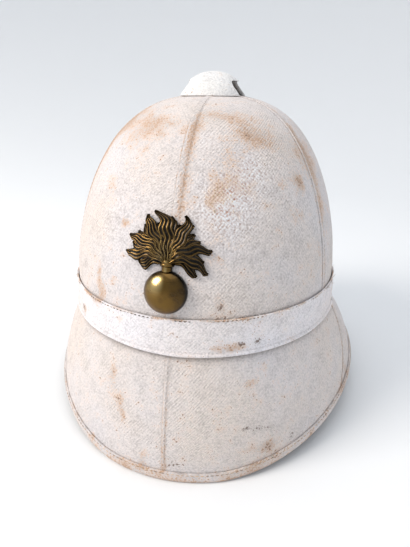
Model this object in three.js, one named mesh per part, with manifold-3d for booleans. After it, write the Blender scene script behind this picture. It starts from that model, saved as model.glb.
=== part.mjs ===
// A foreign-service sun helmet: a tall cork crown covered in six gores of whitened canvas, a
// flared cork brim covered in three pieces, a cloth band at the waist, a bound rim, a domed
// ventilator on top and a cast brass grenade badge on the front.
// Millimetres, +Z up. The front faces -Y, and left and right are the viewer's from the front.
// The helmet stands on its rim at z = 0, and the origin is the middle of the rim's outline.
import * as THREE from "three";
import Module from "manifold-3d";
import { mergeVertices } from "three/addons/utils/BufferGeometryUtils.js";

const wasm = await Module();
wasm.setup();

// Rim, measured over the binding
const RIM_HALF_WIDTH = 121.7;
const RIM_FRONT_LENGTH = 149.5; // from the widest place to the peak's edge
const RIM_BACK_LENGTH = 161; // from the widest place to the guard's edge
const RIM_SIDE_RISE = 18.6; // how far the rim lifts at the ears
const RIM_FLAT_ANGLE = 18; // degrees each side of front and back where the rim lies flat

// Crown, measured over the canvas
const CROWN_HALF_WIDTH = 95;
const CROWN_HALF_LENGTH = 114;
const CROWN_FORWARD = 16.4; // the crown's middle lies ahead of the rim's widest place
const CROWN_RISE = 118.4; // from the band's top edge to the apex
const APEX_SET_BACK = 9.6; // the apex lies behind the crown's middle
const SHOULDER_POWER = 0.685; // under 1 fills out the shoulders in plan
const RISE_POWER = 1.176; // over 1 makes the walls leave the band less upright

// Band
const BAND_TOP = 96; // height of the band's top edge at the crown's middle
const BAND_HEIGHT = 23.3;
const BAND_SLOPE = 0.06; // rise towards the front, in mm for each mm
const BAND_FLARE = 1; // the wall under the band widens by this much to the brim
const BAND_CLOTH = 1.2;
const BAND_WELT = 2.1; // thickness of the rolled fold along the lower edge
const BAND_WELT_HEIGHT = 3.2;

// Brim
const BRIM_COLLAR = 5; // upright collar of the brim, hidden under the band
const BRIM_BULGE = 3.5; // the brim bows outwards by this much at mid depth
const SIDE_SEAM_ANGLE = 82.5; // degrees from the front to the brim's side seam, at the band
const SIDE_SEAM_SLANT = 20; // degrees by which that seam runs forward on its way to the rim
const BINDING_WIDTH = 6;
const BINDING_CLOTH = 1;

// Walls
const CORK_WALL = 4;
const CORK_AT_RIM = 2.5;
const CANVAS = 1;
const FIT_GAP = 0.3;
const SEAM_GAP = 0.4;

// Ventilator
const VENT_HOLE_RADIUS = 11;
const DOME_RADIUS = 25.2;
const DOME_HEIGHT = 15.7;
const DOME_WALL = 2.5;
const DOME_SLOT_WIDTH = 26;
const DOME_SLOT_HEIGHT = 9;
const DOME_SLOT_CORNER = 3.5;

// Badge
const BALL_OVER_BAND = 2.2; // from the band's top edge to the ball's lowest point
const BALL_RADIUS = 12;
const BALL_RELIEF = 8;
const BALL_EDGE = 0.6; // upright edge of the ball's foot
const NECK_RADIUS = 3;
const COLLAR_RADIUS = 4;
const COLLAR_UP = 14.8; // from the ball's middle to the collar's
const COLLAR_THICKNESS = 2.4;
const FLAME_ROOT_UP = 16; // from the ball's middle to where the locks of flame spring
const FLAME_SPAN = 27.8; // from there to the highest tip
const FLAME_EDGE = 0.8; // thickness of a lock along its edges
const FLAME_RELIEF = 2.6; // thickness of a lock along its ridge, at the root
const POST_RADIUS = 1.5;
const POST_LENGTH = 4; // from the canvas face into the wall

// Locks of the flame, from the lowest on the left round to the lowest on the right. turn is the
// tip's direction from the root, in degrees from straight up; reach, width and sway are shares
// of FLAME_SPAN: the tip's distance, the widest half width and the S-bend to one side and back.
const LOCKS = [
  { turn: -104, reach: 0.56, width: 0.11, sway: 0.03 },
  { turn: -91, reach: 0.88, width: 0.11, sway: -0.05 },
  { turn: -78, reach: 0.74, width: 0.12, sway: 0.04 },
  { turn: -64, reach: 0.92, width: 0.12, sway: 0.05 },
  { turn: -51, reach: 0.8, width: 0.13, sway: -0.04 },
  { turn: -34, reach: 0.96, width: 0.12, sway: 0.05 },
  { turn: -22, reach: 0.82, width: 0.13, sway: -0.04 },
  { turn: -6, reach: 1, width: 0.14, sway: 0.06 },
  { turn: 10, reach: 0.76, width: 0.13, sway: -0.04 },
  { turn: 28, reach: 0.91, width: 0.13, sway: 0.06 },
  { turn: 42, reach: 0.74, width: 0.13, sway: -0.04 },
  { turn: 55, reach: 0.72, width: 0.12, sway: 0.04 },
  { turn: 74, reach: 0.87, width: 0.12, sway: -0.05 },
  { turn: 90, reach: 0.68, width: 0.11, sway: 0.03 },
  { turn: 105, reach: 0.8, width: 0.12, sway: -0.05 },
];
const LOCK_STEPS = 5;
const LOCK_ROOT = 0.3; // larger makes a lock wider at its root
const LOCK_TAPER = 0.75; // larger makes its tip finer
const LOCK_END = 0.97; // share of its run where a lock is cut off
const LOCK_FALL = 0.6; // share of the ridge's relief that is lost by the tip

// Tessellation
const STEPS_PER_GORE = 8;
const CROWN_ROWS = 9;
const BRIM_ROWS = 4;
const DOME_SIDES = 28;
const DOME_ROWS = 5;
const BALL_SIDES = 20;
const BALL_ROWS = 4;
const POST_SIDES = 10;
const PROFILE_SAMPLES = 400; // steps in which the crown's profile is measured
const WELD = 1e-4; // corners closer than this are one corner
const HALVINGS = 50; // in the search for the climb at a height
const CLIMB_STEPS = 24; // in which a distance up the crown is walked
const NUDGE = 1e-3; // the small angle that slopes are measured over

const GORES = ["front_right", "side_right", "back_right", "back_left", "side_left", "front_left"];
const GORE_ANGLE = (2 * Math.PI) / GORES.length;

const radians = THREE.MathUtils.degToRad;
const rimWidestY = (RIM_FRONT_LENGTH - RIM_BACK_LENGTH) / 2;
const crownCentreY = rimWidestY - CROWN_FORWARD;
const bindingStand = FIT_GAP + BINDING_CLOTH; // how far the binding stands off the canvas
const lining = CANVAS + FIT_GAP; // depth of the cork's outer face under the canvas face

// The outline's own angle for a real angle from the front, so that the gores are equal wedges.
function outlineAngle(real) {
  return Math.atan2(Math.sin(real) / CROWN_HALF_WIDTH, Math.cos(real) / CROWN_HALF_LENGTH);
}

// Height of the band's top edge, which slopes down towards the back.
function bandTopAt(y) {
  return BAND_TOP - BAND_SLOPE * (y - crownCentreY);
}

// The canvas face of the upright wall under the band, a given distance below the band's top.
function waistPoint(angle, below) {
  const spread = (BAND_FLARE * below) / BAND_HEIGHT;
  const x = (CROWN_HALF_WIDTH + spread) * Math.sin(angle);
  const y = crownCentreY - (CROWN_HALF_LENGTH + spread) * Math.cos(angle);
  return new THREE.Vector3(x, y, bandTopAt(y) - below);
}

// The canvas face of the crown, with climb from 0 at the band to a right angle at the apex.
function crownPoint(angle, climb) {
  const reach = Math.pow(Math.cos(climb), SHOULDER_POWER);
  const rise = Math.pow(Math.sin(climb), RISE_POWER);
  const edge = waistPoint(angle, 0);
  const x = edge.x * reach;
  const y = crownCentreY + (edge.y - crownCentreY) * reach + APEX_SET_BACK * rise;
  const z = BAND_TOP + (edge.z - BAND_TOP) * reach * (1 - rise) + CROWN_RISE * rise;
  return new THREE.Vector3(x, y, z);
}

// Climbs that part the crown's front profile into rows of equal length, up to the vent hole.
function crownClimbs() {
  const top = Math.acos(Math.pow(VENT_HOLE_RADIUS / CROWN_HALF_WIDTH, 1 / SHOULDER_POWER));
  const lengths = [0];
  let last = crownPoint(Math.PI / 2, 0);
  for (let i = 1; i <= PROFILE_SAMPLES; i += 1) {
    const point = crownPoint(Math.PI / 2, (top * i) / PROFILE_SAMPLES);
    lengths.push(lengths[i - 1] + point.distanceTo(last));
    last = point;
  }
  const rows = [0];
  for (let row = 1; row < CROWN_ROWS; row += 1) {
    const wanted = (lengths[PROFILE_SAMPLES] * row) / CROWN_ROWS;
    rows.push((top * lengths.findIndex((length) => length >= wanted)) / PROFILE_SAMPLES);
  }
  return [...rows, top];
}

// Height of the rim's lower edge: flat at front and back, lifted at the sides.
function rimHeight(angle) {
  const flat = Math.sin(radians(RIM_FLAT_ANGLE)) ** 2;
  const lift = Math.max(0, Math.sin(angle) ** 2 - flat) / (1 - flat);
  return RIM_SIDE_RISE * lift;
}

// The edge of the brim's canvas, which stands in the fold of the binding.
function rimPoint(angle) {
  const length = Math.cos(angle) > 0 ? RIM_FRONT_LENGTH : RIM_BACK_LENGTH;
  const x = (RIM_HALF_WIDTH - bindingStand) * Math.sin(angle);
  const y = rimWidestY - (length - bindingStand) * Math.cos(angle);
  return new THREE.Vector3(x, y, rimHeight(angle) + bindingStand);
}

// The canvas face of the brim, with share from 0 at the band's foot to 1 at the rim. Its lines
// run forward at the sides, as the side seams do.
function brimPoint(angle, share) {
  const slant = radians(SIDE_SEAM_SLANT) * share * Math.sin(angle);
  const foot = waistPoint(angle - slant, BAND_HEIGHT);
  const edge = rimPoint(angle - slant);
  const down = edge.clone().sub(foot);
  const out = new THREE.Vector3(down.x, down.y, 0).normalize();
  const across = new THREE.Vector3().crossVectors(down, out);
  const bow = new THREE.Vector3().crossVectors(across, down).normalize();
  return foot.addScaledVector(down, share).addScaledVector(bow, 4 * BRIM_BULGE * share * (1 - share));
}

// Share of the brim's depth at which the binding's upper edge lies.
function bindingShare(angle) {
  return 1 - BINDING_WIDTH / brimPoint(angle, 0).distanceTo(brimPoint(angle, 1));
}

// Outline angles round the helmet, from the front by the right, with one at every gore's edge.
function outlineAngles() {
  const angles = [];
  for (let i = 0; i < GORES.length * STEPS_PER_GORE; i += 1) {
    const gore = Math.floor(i / STEPS_PER_GORE);
    const within = (i % STEPS_PER_GORE) / STEPS_PER_GORE;
    const from = outlineAngle(gore * GORE_ANGLE);
    let to = outlineAngle((gore + 1) * GORE_ANGLE);
    if (to < from) to += 2 * Math.PI;
    angles.push(from + (to - from) * within);
  }
  return angles;
}

const climbs = crownClimbs();

// Canvas face of the crown from its lower edge up, at one outline angle.
function crownColumn(angle) {
  const edge = waistPoint(angle, BAND_HEIGHT - BRIM_COLLAR - FIT_GAP / 2);
  return [edge, ...climbs.map((climb) => crownPoint(angle, climb))];
}

// Canvas face of the brim from its collar down, at one outline angle.
function brimColumn(angle) {
  const column = [waistPoint(angle, BAND_HEIGHT - BRIM_COLLAR + FIT_GAP / 2)];
  const last = bindingShare(angle);
  for (let row = 0; row <= BRIM_ROWS; row += 1) column.push(brimPoint(angle, (last * row) / BRIM_ROWS));
  column.push(brimPoint(angle, 1));
  return column;
}

// Outward directions at each point of a ring of columns. A level edge keeps its last row's
// offsets horizontal, so that every layer ends at the same height.
function outwardOf(columns, levelEdge) {
  const count = columns.length;
  const middle = new THREE.Vector3(0, crownCentreY, BAND_TOP);
  return columns.map((column, i) => {
    const next = columns[(i + 1) % count];
    const before = columns[(i + count - 1) % count];
    const last = column.length - 1;
    return column.map((point, j) => {
      const round = next[j].clone().sub(before[j]);
      const along = column[Math.min(j + 1, last)].clone().sub(column[Math.max(j - 1, 0)]);
      const normal = round.cross(along).normalize();
      if (normal.dot(point.clone().sub(middle)) < 0) normal.negate();
      if (levelEdge && j === last) {
        const flat = normal.x ** 2 + normal.y ** 2;
        normal.set(normal.x / flat, normal.y / flat, 0);
      }
      return normal;
    });
  });
}

// Moves each point of the columns outwards by the depth that depthAt gives for its row.
function layer(columns, outward, depthAt) {
  return columns.map((column, i) =>
    column.map((point, j) => point.clone().addScaledVector(outward[i][j], depthAt(j))),
  );
}

// A closed solid through a row of closed sections, joined end to end or capped at both ends.
// Each section runs along one face of a wall and back along the other. Every four-cornered
// patch is split along the diagonal that falls, so that stacked walls keep their gap.
function loft(sections, closed) {
  const size = sections[0].length;
  const positions = sections.flatMap((section) => section.flatMap((point) => [point.x, point.y, point.z]));
  const faces = [];
  const spans = closed ? sections.length : sections.length - 1;
  for (let i = 0; i < spans; i += 1) {
    const next = (i + 1) % sections.length;
    for (let j = 0; j < size; j += 1) {
      const k = (j + 1) % size;
      const [a, b, c, d] = [i * size + j, next * size + j, next * size + k, i * size + k];
      if (sections[i][j].z > sections[i][k].z) faces.push(a, b, c, a, c, d);
      else faces.push(a, b, d, b, c, d);
    }
  }
  if (!closed) {
    const last = (sections.length - 1) * size;
    for (let j = 0; j < size / 2 - 1; j += 1) {
      const back = size - 1 - j;
      faces.push(j, j + 1, back - 1, j, back - 1, back);
      faces.push(last + j, last + back - 1, last + j + 1, last + j, last + back, last + back - 1);
    }
  }
  return facingOut(positions, faces);
}

// A geometry of these triangles, turned round if they face inwards.
function facingOut(positions, faces) {
  const corner = (index) => new THREE.Vector3().fromArray(positions, 3 * index);
  let volume = 0;
  for (let i = 0; i < faces.length; i += 3) {
    volume += corner(faces[i]).dot(corner(faces[i + 1]).cross(corner(faces[i + 2])));
  }
  const turned = [];
  for (let i = 0; i < faces.length; i += 3) {
    const [a, b, c] = faces.slice(i, i + 3);
    turned.push(a, volume > 0 ? b : c, volume > 0 ? c : b);
  }
  const geometry = new THREE.BufferGeometry();
  geometry.setAttribute("position", new THREE.Float32BufferAttribute(positions, 3));
  geometry.setIndex(turned);
  return geometry;
}

// Joins two faces of a wall, each a list of columns, into sections for loft.
function wallSections(outer, inner) {
  return outer.map((column, i) => [...column, ...inner[i].slice().reverse()]);
}

// Draws a gore's two side columns in from the seam by half the seam's gap.
function openSeams(columns) {
  const last = columns.length - 1;
  const moved = columns.map((column) => column.map((point) => point.clone()));
  columns[0].forEach((point, j) => {
    const inwards = columns[1][j].clone().sub(point).normalize();
    moved[0][j].addScaledVector(inwards, SEAM_GAP / 2);
    const back = columns[last - 1][j].clone().sub(columns[last][j]).normalize();
    moved[last][j].addScaledVector(back, SEAM_GAP / 2);
  });
  return moved;
}

// A manifold solid from a closed geometry, and back again.
function toSolid(geometry) {
  const bare = geometry.clone();
  bare.deleteAttribute("normal");
  bare.deleteAttribute("uv");
  const merged = mergeVertices(bare, WELD);
  const vertProperties = new Float32Array(merged.attributes.position.array);
  const triVerts = new Uint32Array(merged.index.array);
  return new wasm.Manifold(new wasm.Mesh({ numProp: 3, vertProperties, triVerts }));
}

function toGeometry(solid) {
  const mesh = solid.getMesh();
  const geometry = new THREE.BufferGeometry();
  geometry.setAttribute("position", new THREE.Float32BufferAttribute(mesh.vertProperties, 3));
  geometry.setIndex(new THREE.Uint32BufferAttribute(mesh.triVerts, 1));
  return geometry;
}

// Materials
const canvas = new THREE.MeshStandardMaterial({ color: 0xe4dbd5, roughness: 0.95, metalness: 0 });
const cork = new THREE.MeshStandardMaterial({ color: 0xb58a5c, roughness: 0.9, metalness: 0 });
const bandCloth = new THREE.MeshStandardMaterial({ color: 0xe0dbdc, roughness: 0.92, metalness: 0 });
const bindingCloth = new THREE.MeshStandardMaterial({ color: 0xd9bfa8, roughness: 0.9, metalness: 0 });
const brass = new THREE.MeshStandardMaterial({ color: 0x7d6a35, roughness: 0.38, metalness: 0.9 });

const helmet = new THREE.Group();

function addPiece(name, geometry, material) {
  const mesh = new THREE.Mesh(geometry, material);
  mesh.name = name;
  helmet.add(mesh);
}

// Shells: cork walls under the canvas, joined edge to edge behind the band
const allAngles = outlineAngles();

function shellGeometry(columnOf, levelEdge, wallAt) {
  const columns = allAngles.map(columnOf);
  const outward = outwardOf(columns, levelEdge);
  const outer = layer(columns, outward, () => -lining);
  const inner = layer(columns, outward, (row) => -lining - wallAt(row));
  return loft(wallSections(outer, inner), true);
}

function brimWall(row) {
  return row > BRIM_ROWS ? CORK_AT_RIM : CORK_WALL;
}

// Covers: canvas between two seams, given by their columns counted from the front by the right
function coverGeometry(columnOf, levelEdge, from, to) {
  const ring = allAngles.map(columnOf);
  const outward = outwardOf(ring, levelEdge);
  const picked = Array.from({ length: to - from + 1 }, (_, i) => (from + i) % ring.length);
  const columns = picked.map((i) => ring[i]);
  const directions = picked.map((i) => outward[i]);
  const face = openSeams(columns);
  const back = openSeams(layer(columns, directions, () => -CANVAS));
  return loft(wallSections(face, back), false);
}

// Band: a folded strip round the waist with a rolled lower edge
function bandGeometry() {
  const weltTop = BAND_HEIGHT - BAND_WELT_HEIGHT;
  const weltRound = BAND_WELT_HEIGHT / 4;
  const rows = [
    { below: 0, cloth: BAND_CLOTH / 2 },
    { below: BAND_CLOTH / 2, cloth: BAND_CLOTH },
    { below: weltTop, cloth: BAND_CLOTH },
    { below: weltTop + weltRound, cloth: BAND_WELT },
    { below: BAND_HEIGHT - weltRound, cloth: BAND_WELT },
    { below: BAND_HEIGHT, cloth: BAND_CLOTH },
  ];
  const columns = allAngles.map((angle) => rows.map((row) => waistPoint(angle, row.below)));
  const outward = outwardOf(columns, false);
  const inner = layer(columns, outward, () => FIT_GAP);
  const outer = layer(columns, outward, (row) => FIT_GAP + rows[row].cloth);
  const foot = rows.length - 1;
  return loft(outer.map((column, i) => [...column, inner[i][foot], inner[i][0]]), true);
}

// Binding: a strip of cloth folded round the brim's edge, flat along its sole
function bindingGeometry() {
  const columns = allAngles.map(brimColumn);
  const outward = outwardOf(columns, true);
  const canvasBack = lining + FIT_GAP;
  const sections = columns.map((column, i) => {
    const last = column.length - 1;
    const at = (row, depth, lower) => {
      const moved = column[row].clone().addScaledVector(outward[i][row], depth);
      moved.z -= lower;
      return moved;
    };
    return [
      at(last - 1, bindingStand, 0),
      at(last, bindingStand, 0),
      at(last, FIT_GAP, bindingStand),
      at(last, -canvasBack - CORK_AT_RIM, bindingStand),
      at(last, -canvasBack - CORK_AT_RIM - BINDING_CLOTH, 0),
      at(last - 1, -canvasBack - CORK_WALL - BINDING_CLOTH, 0),
      at(last - 1, -canvasBack - CORK_WALL, 0),
      at(last, -canvasBack - CORK_AT_RIM, FIT_GAP),
      at(last, FIT_GAP, FIT_GAP),
      at(last - 1, FIT_GAP, 0),
    ];
  });
  return loft(sections, true);
}

// Ventilator: a hollow dome over the vent hole, open at both sides through a slot
const apexY = crownCentreY + APEX_SET_BACK;

// Height of the crown's canvas face near the apex, at a distance ahead of it.
function crownTopAt(ahead) {
  const reach = ahead / CROWN_HALF_LENGTH;
  const climb = Math.acos(Math.pow(reach, 1 / SHOULDER_POWER));
  return crownPoint(0, climb).z;
}

// Points of a dome's arc from its foot to its crest, for a ball of this radius sunk this deep.
function domeArc(ballRadius, sunk) {
  const foot = Math.asin(sunk / ballRadius);
  return Array.from({ length: DOME_ROWS + 1 }, (_, i) => {
    const angle = foot + ((Math.PI / 2 - foot) * i) / DOME_ROWS;
    const across = i === DOME_ROWS ? 0 : ballRadius * Math.cos(angle);
    return new THREE.Vector2(across, ballRadius * Math.sin(angle) - sunk);
  });
}

// The bar that cuts both side slots, with its long way along X.
function slotBar() {
  const half = DOME_SLOT_WIDTH / 2;
  const slot = new THREE.Shape();
  slot.moveTo(-half, -DOME_WALL);
  slot.lineTo(half, -DOME_WALL);
  slot.lineTo(half, DOME_SLOT_HEIGHT - DOME_SLOT_CORNER);
  slot.quadraticCurveTo(half, DOME_SLOT_HEIGHT, half - DOME_SLOT_CORNER, DOME_SLOT_HEIGHT);
  slot.lineTo(DOME_SLOT_CORNER - half, DOME_SLOT_HEIGHT);
  slot.quadraticCurveTo(-half, DOME_SLOT_HEIGHT, -half, DOME_SLOT_HEIGHT - DOME_SLOT_CORNER);
  const length = 4 * DOME_RADIUS;
  const bar = new THREE.ExtrudeGeometry(slot, { depth: length, bevelEnabled: false, curveSegments: 3 });
  bar.translate(0, 0, -length / 2);
  bar.rotateX(Math.PI / 2);
  bar.rotateZ(Math.PI / 2);
  return bar;
}

function ventilatorGeometry() {
  const ballRadius = (DOME_RADIUS ** 2 + DOME_HEIGHT ** 2) / (2 * DOME_HEIGHT);
  const sunk = ballRadius - DOME_HEIGHT;
  const outer = domeArc(ballRadius, sunk);
  const inner = domeArc(ballRadius - DOME_WALL, sunk).reverse();
  const dome = new THREE.LatheGeometry([...outer, ...inner, outer[0].clone()], DOME_SIDES);
  dome.rotateX(Math.PI / 2);
  const geometry = toGeometry(toSolid(dome).subtract(toSolid(slotBar())));
  return geometry.translate(0, apexY, crownTopAt(DOME_RADIUS - DOME_WALL) + FIT_GAP);
}

// Badge: modelled flat, with x across, y up and z out, then bent onto the crown's front
const bandTopAtFront = bandTopAt(crownCentreY - CROWN_HALF_LENGTH);
const badgeClimb = climbAtHeight(bandTopAtFront + BALL_OVER_BAND + BALL_RADIUS);

function climbAtHeight(height) {
  let low = 0;
  let high = Math.PI / 2;
  for (let i = 0; i < HALVINGS; i += 1) {
    const middle = (low + high) / 2;
    if (crownPoint(0, middle).z < height) low = middle;
    else high = middle;
  }
  return low;
}

// The point a given distance across, up and out from the ball's middle on the crown's face.
function onCrown(across, up, out) {
  let climb = badgeClimb;
  for (let i = 0; i < CLIMB_STEPS; i += 1) {
    const pace = crownPoint(0, climb + NUDGE).distanceTo(crownPoint(0, climb)) / NUDGE;
    climb += up / CLIMB_STEPS / pace;
  }
  const wide = crownPoint(NUDGE, climb).distanceTo(crownPoint(0, climb)) / NUDGE;
  const angle = across / wide;
  const point = crownPoint(angle, climb);
  const round = crownPoint(angle + NUDGE, climb).sub(point);
  const along = crownPoint(angle, climb + NUDGE).sub(point);
  return point.addScaledVector(round.cross(along).normalize(), out);
}

function bendOntoCrown(geometry) {
  const position = geometry.attributes.position;
  for (let i = 0; i < position.count; i += 1) {
    const bent = onCrown(position.getX(i), position.getY(i), position.getZ(i));
    position.setXYZ(i, bent.x, bent.y, bent.z);
  }
  return geometry;
}

// A straight round post behind the ball, with an optional clearance all round.
function postGeometry(clearance) {
  const back = POST_LENGTH + clearance;
  const front = FIT_GAP + BALL_EDGE;
  const radius = POST_RADIUS + clearance;
  const post = new THREE.CylinderGeometry(radius, radius, front + back, POST_SIDES);
  post.rotateX(Math.PI / 2);
  return post.translate(0, 0, (front - back) / 2);
}

// Half width of a lock at a share of its run, as a share of its widest half width.
function lockShape(share) {
  const fullest = (1 - LOCK_ROOT * LOCK_TAPER) / (1 + LOCK_TAPER);
  const swell = (share + LOCK_ROOT) / (fullest + LOCK_ROOT);
  return swell * Math.pow((1 - share) / (1 - fullest), LOCK_TAPER);
}

// One lock: a ridged leaf that leaves the root steeply and bends over towards its tip.
function lockGeometry({ turn, reach, width, sway }) {
  const towards = (degrees, distance) =>
    new THREE.Vector2(Math.sin(radians(degrees)), Math.cos(radians(degrees)))
      .multiplyScalar(distance)
      .add(new THREE.Vector2(0, FLAME_ROOT_UP));
  const length = reach * FLAME_SPAN;
  const curve = new THREE.QuadraticBezierCurve(
    towards(0, 0),
    towards(turn / 2, length / 2),
    towards(turn, length),
  );
  const sections = [];
  for (let i = 0; i <= LOCK_STEPS; i += 1) {
    const share = (LOCK_END * i) / LOCK_STEPS;
    const run = curve.getTangent(share);
    const side = new THREE.Vector2(-run.y, run.x);
    const middle = curve.getPoint(share);
    middle.addScaledVector(side, sway * FLAME_SPAN * Math.sin(2 * Math.PI * share));
    const half = width * FLAME_SPAN * lockShape(share);
    const ridge = FLAME_EDGE + (FLAME_RELIEF - FLAME_EDGE) * (1 - LOCK_FALL * share);
    const at = (across, out) => {
      const spot = middle.clone().addScaledVector(side, across);
      return new THREE.Vector3(spot.x, spot.y, FIT_GAP + out);
    };
    sections.push([
      at(half, FLAME_EDGE),
      at(0, ridge),
      at(-half, FLAME_EDGE),
      at(-half, 0),
      at(0, 0),
      at(half, 0),
    ]);
  }
  return loft(sections, false);
}

// Half a round bar lying on the crown, from one height above the ball's middle to another.
function halfBar(radius, from, to) {
  const half = new THREE.Shape();
  half.absarc(0, 0, radius, 0, Math.PI, false);
  const options = { depth: to - from, bevelEnabled: false, curveSegments: 4 };
  const bar = new THREE.ExtrudeGeometry(half, options);
  bar.rotateX(Math.PI / 2);
  return bar.translate(0, to, FIT_GAP);
}

// The ball: a round cast dome with a low upright edge.
function ballGeometry() {
  const profile = [new THREE.Vector2(0, 0), new THREE.Vector2(BALL_RADIUS, 0)];
  for (let i = 0; i <= BALL_ROWS; i += 1) {
    const angle = (Math.PI / 2) * (i / BALL_ROWS);
    const across = i === BALL_ROWS ? 0 : BALL_RADIUS * Math.cos(angle);
    profile.push(new THREE.Vector2(across, BALL_EDGE + (BALL_RELIEF - BALL_EDGE) * Math.sin(angle)));
  }
  const ball = new THREE.LatheGeometry(profile, BALL_SIDES);
  ball.rotateX(Math.PI / 2);
  return ball.translate(0, 0, FIT_GAP);
}

function badgeGeometry() {
  const neck = halfBar(NECK_RADIUS, BALL_RADIUS / 2, FLAME_ROOT_UP + NECK_RADIUS);
  const collar = halfBar(COLLAR_RADIUS, COLLAR_UP - COLLAR_THICKNESS / 2, COLLAR_UP + COLLAR_THICKNESS / 2);
  const pieces = [neck, collar, postGeometry(0), ...LOCKS.map(lockGeometry)];
  const solid = pieces.reduce((whole, piece) => whole.add(toSolid(piece)), toSolid(ballGeometry()));
  return bendOntoCrown(toGeometry(solid));
}

// Assembly
const postHole = toSolid(bendOntoCrown(postGeometry(FIT_GAP)));
const sideSeam = Math.round((SIDE_SEAM_ANGLE / 360) * allAngles.length);

function drilled(geometry) {
  return toGeometry(toSolid(geometry).subtract(postHole));
}

function addBrimCover(name, from, to) {
  addPiece(name, coverGeometry(brimColumn, true, from, to), canvas);
}

addPiece("crown_shell", drilled(shellGeometry(crownColumn, false, () => CORK_WALL)), cork);
addPiece("brim_shell", shellGeometry(brimColumn, true, brimWall), cork);
GORES.forEach((place, gore) => {
  const from = gore * STEPS_PER_GORE;
  const cover = coverGeometry(crownColumn, false, from, from + STEPS_PER_GORE);
  addPiece(`crown_cover_${place}`, place.startsWith("front") ? drilled(cover) : cover, canvas);
});
addBrimCover("peak_cover_right", 0, sideSeam);
addBrimCover("guard_cover", sideSeam, allAngles.length - sideSeam);
addBrimCover("peak_cover_left", allAngles.length - sideSeam, allAngles.length);
addPiece("band", bandGeometry(), bandCloth);
addPiece("rim_binding", bindingGeometry(), bindingCloth);
addPiece("ventilator_cap", ventilatorGeometry(), canvas);
addPiece("badge", badgeGeometry(), brass);

export default helmet;
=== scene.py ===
"""A six-panel sun helmet: cork under whitened cotton drill, with a cast brass grenade badge."""

import logging
import math
import random
from dataclasses import dataclass
from enum import Enum
from functools import lru_cache, partial
from itertools import accumulate
from typing import Callable

import bpy
from mathutils import Matrix, Vector, noise


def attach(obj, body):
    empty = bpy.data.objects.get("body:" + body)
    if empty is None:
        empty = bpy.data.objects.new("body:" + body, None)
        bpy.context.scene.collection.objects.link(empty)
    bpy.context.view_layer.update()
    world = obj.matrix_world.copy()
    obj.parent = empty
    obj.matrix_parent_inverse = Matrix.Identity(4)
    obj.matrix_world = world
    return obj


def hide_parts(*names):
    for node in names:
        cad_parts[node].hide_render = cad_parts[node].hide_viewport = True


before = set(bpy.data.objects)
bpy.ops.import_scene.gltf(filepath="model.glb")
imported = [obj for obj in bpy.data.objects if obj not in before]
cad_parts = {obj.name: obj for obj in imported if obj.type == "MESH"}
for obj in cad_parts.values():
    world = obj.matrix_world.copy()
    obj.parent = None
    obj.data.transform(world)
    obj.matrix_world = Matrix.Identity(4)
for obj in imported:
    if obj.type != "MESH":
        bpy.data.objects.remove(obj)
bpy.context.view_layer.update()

MM = 0.001  # the sizes below are in mm, and Blender's are in metres
BODY = "root"
NUDGE = 0.01  # a small step along a face, for its slope
FAR = 50  # mm from a seam, where it no longer counts
HALVINGS = 30  # closes in on a height to far less than a micron
CLOTH_CREASE = 50  # degrees; any lesser turn of cloth is shaded smooth
FINE_CREASE = 60  # the same for thread, brass and paper
log = logging.getLogger("helmet")


def to_linear(hex_colour: str) -> tuple[float, float, float, float]:
    """Turns an sRGB hex value into linear colour.

    Args:
        hex_colour: the colour as "#RRGGBB".

    Returns:
        Red, green, blue and alpha, each from 0 to 1.
    """
    parts = [int(hex_colour[i : i + 2], 16) / 255 for i in (1, 3, 5)]
    linear = [c / 12.92 if c <= 0.04045 else ((c + 0.055) / 1.055) ** 2.4 for c in parts]
    return (*linear, 1.0)


def empty_tree(owner: bpy.types.Material | bpy.types.World) -> bpy.types.NodeTree:
    """Gives a finish, or the air all round, a node tree with nothing in it."""
    owner.use_nodes = True
    owner.node_tree.nodes.clear()
    return owner.node_tree


def add_node(
    tree: bpy.types.NodeTree, kind: str, inputs: dict, out: int | str = 0, **settings
) -> bpy.types.NodeSocket | None:
    """Adds one node with its settings and links.

    Args:
        tree: the tree that it joins.
        kind: the node's type name, after its usual start.
        inputs: for each input's name or number, the socket linked to it or its value.
        out: the name or number of the wanted output.
        settings: the node's own properties.

    Returns:
        The wanted output, if the node has any.
    """
    node = tree.nodes.new(f"ShaderNode{kind}")
    for name, value in settings.items():
        setattr(node, name, value)
    for name, value in inputs.items():
        if isinstance(value, bpy.types.NodeSocket):
            tree.links.new(value, node.inputs[name])
        else:
            node.inputs[name].default_value = value
    return node.outputs[out] if node.outputs else None


def smooth_mix(low: float, high: float, at: float) -> float:
    """Rises smoothly from 0 at low to 1 at high."""
    share = min(1.0, max(0.0, (at - low) / (high - low)))
    return share * share * (3 - 2 * share)


def bell(off: float, width: float) -> float:
    """Falls smoothly from 1, to about a third at this width."""
    return math.exp(-((off / width) ** 2))


def run_lengths(points: list[Vector]) -> list[float]:
    """How far along a line each of its points lies."""
    steps = ((after - before).length for before, after in zip(points, points[1:]))
    return list(accumulate(steps, initial=0.0))


def ripple(point: Vector, size: float) -> float:
    """A smooth uneven value from about -1 to 1, whose swells are about size mm wide."""
    return noise.noise(point / size)


class Soil(Enum):
    """What has happened to the whitening, and where shade is painted on it: three channels of the soiling
    attribute, and its own.
    """

    RUBBED = 0
    GRIME = 1
    # painted shade: darkening laid into seams, creases, under the band and the binding, and inside the cap
    SHADE = 2
    THREADBARE = 3


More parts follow.
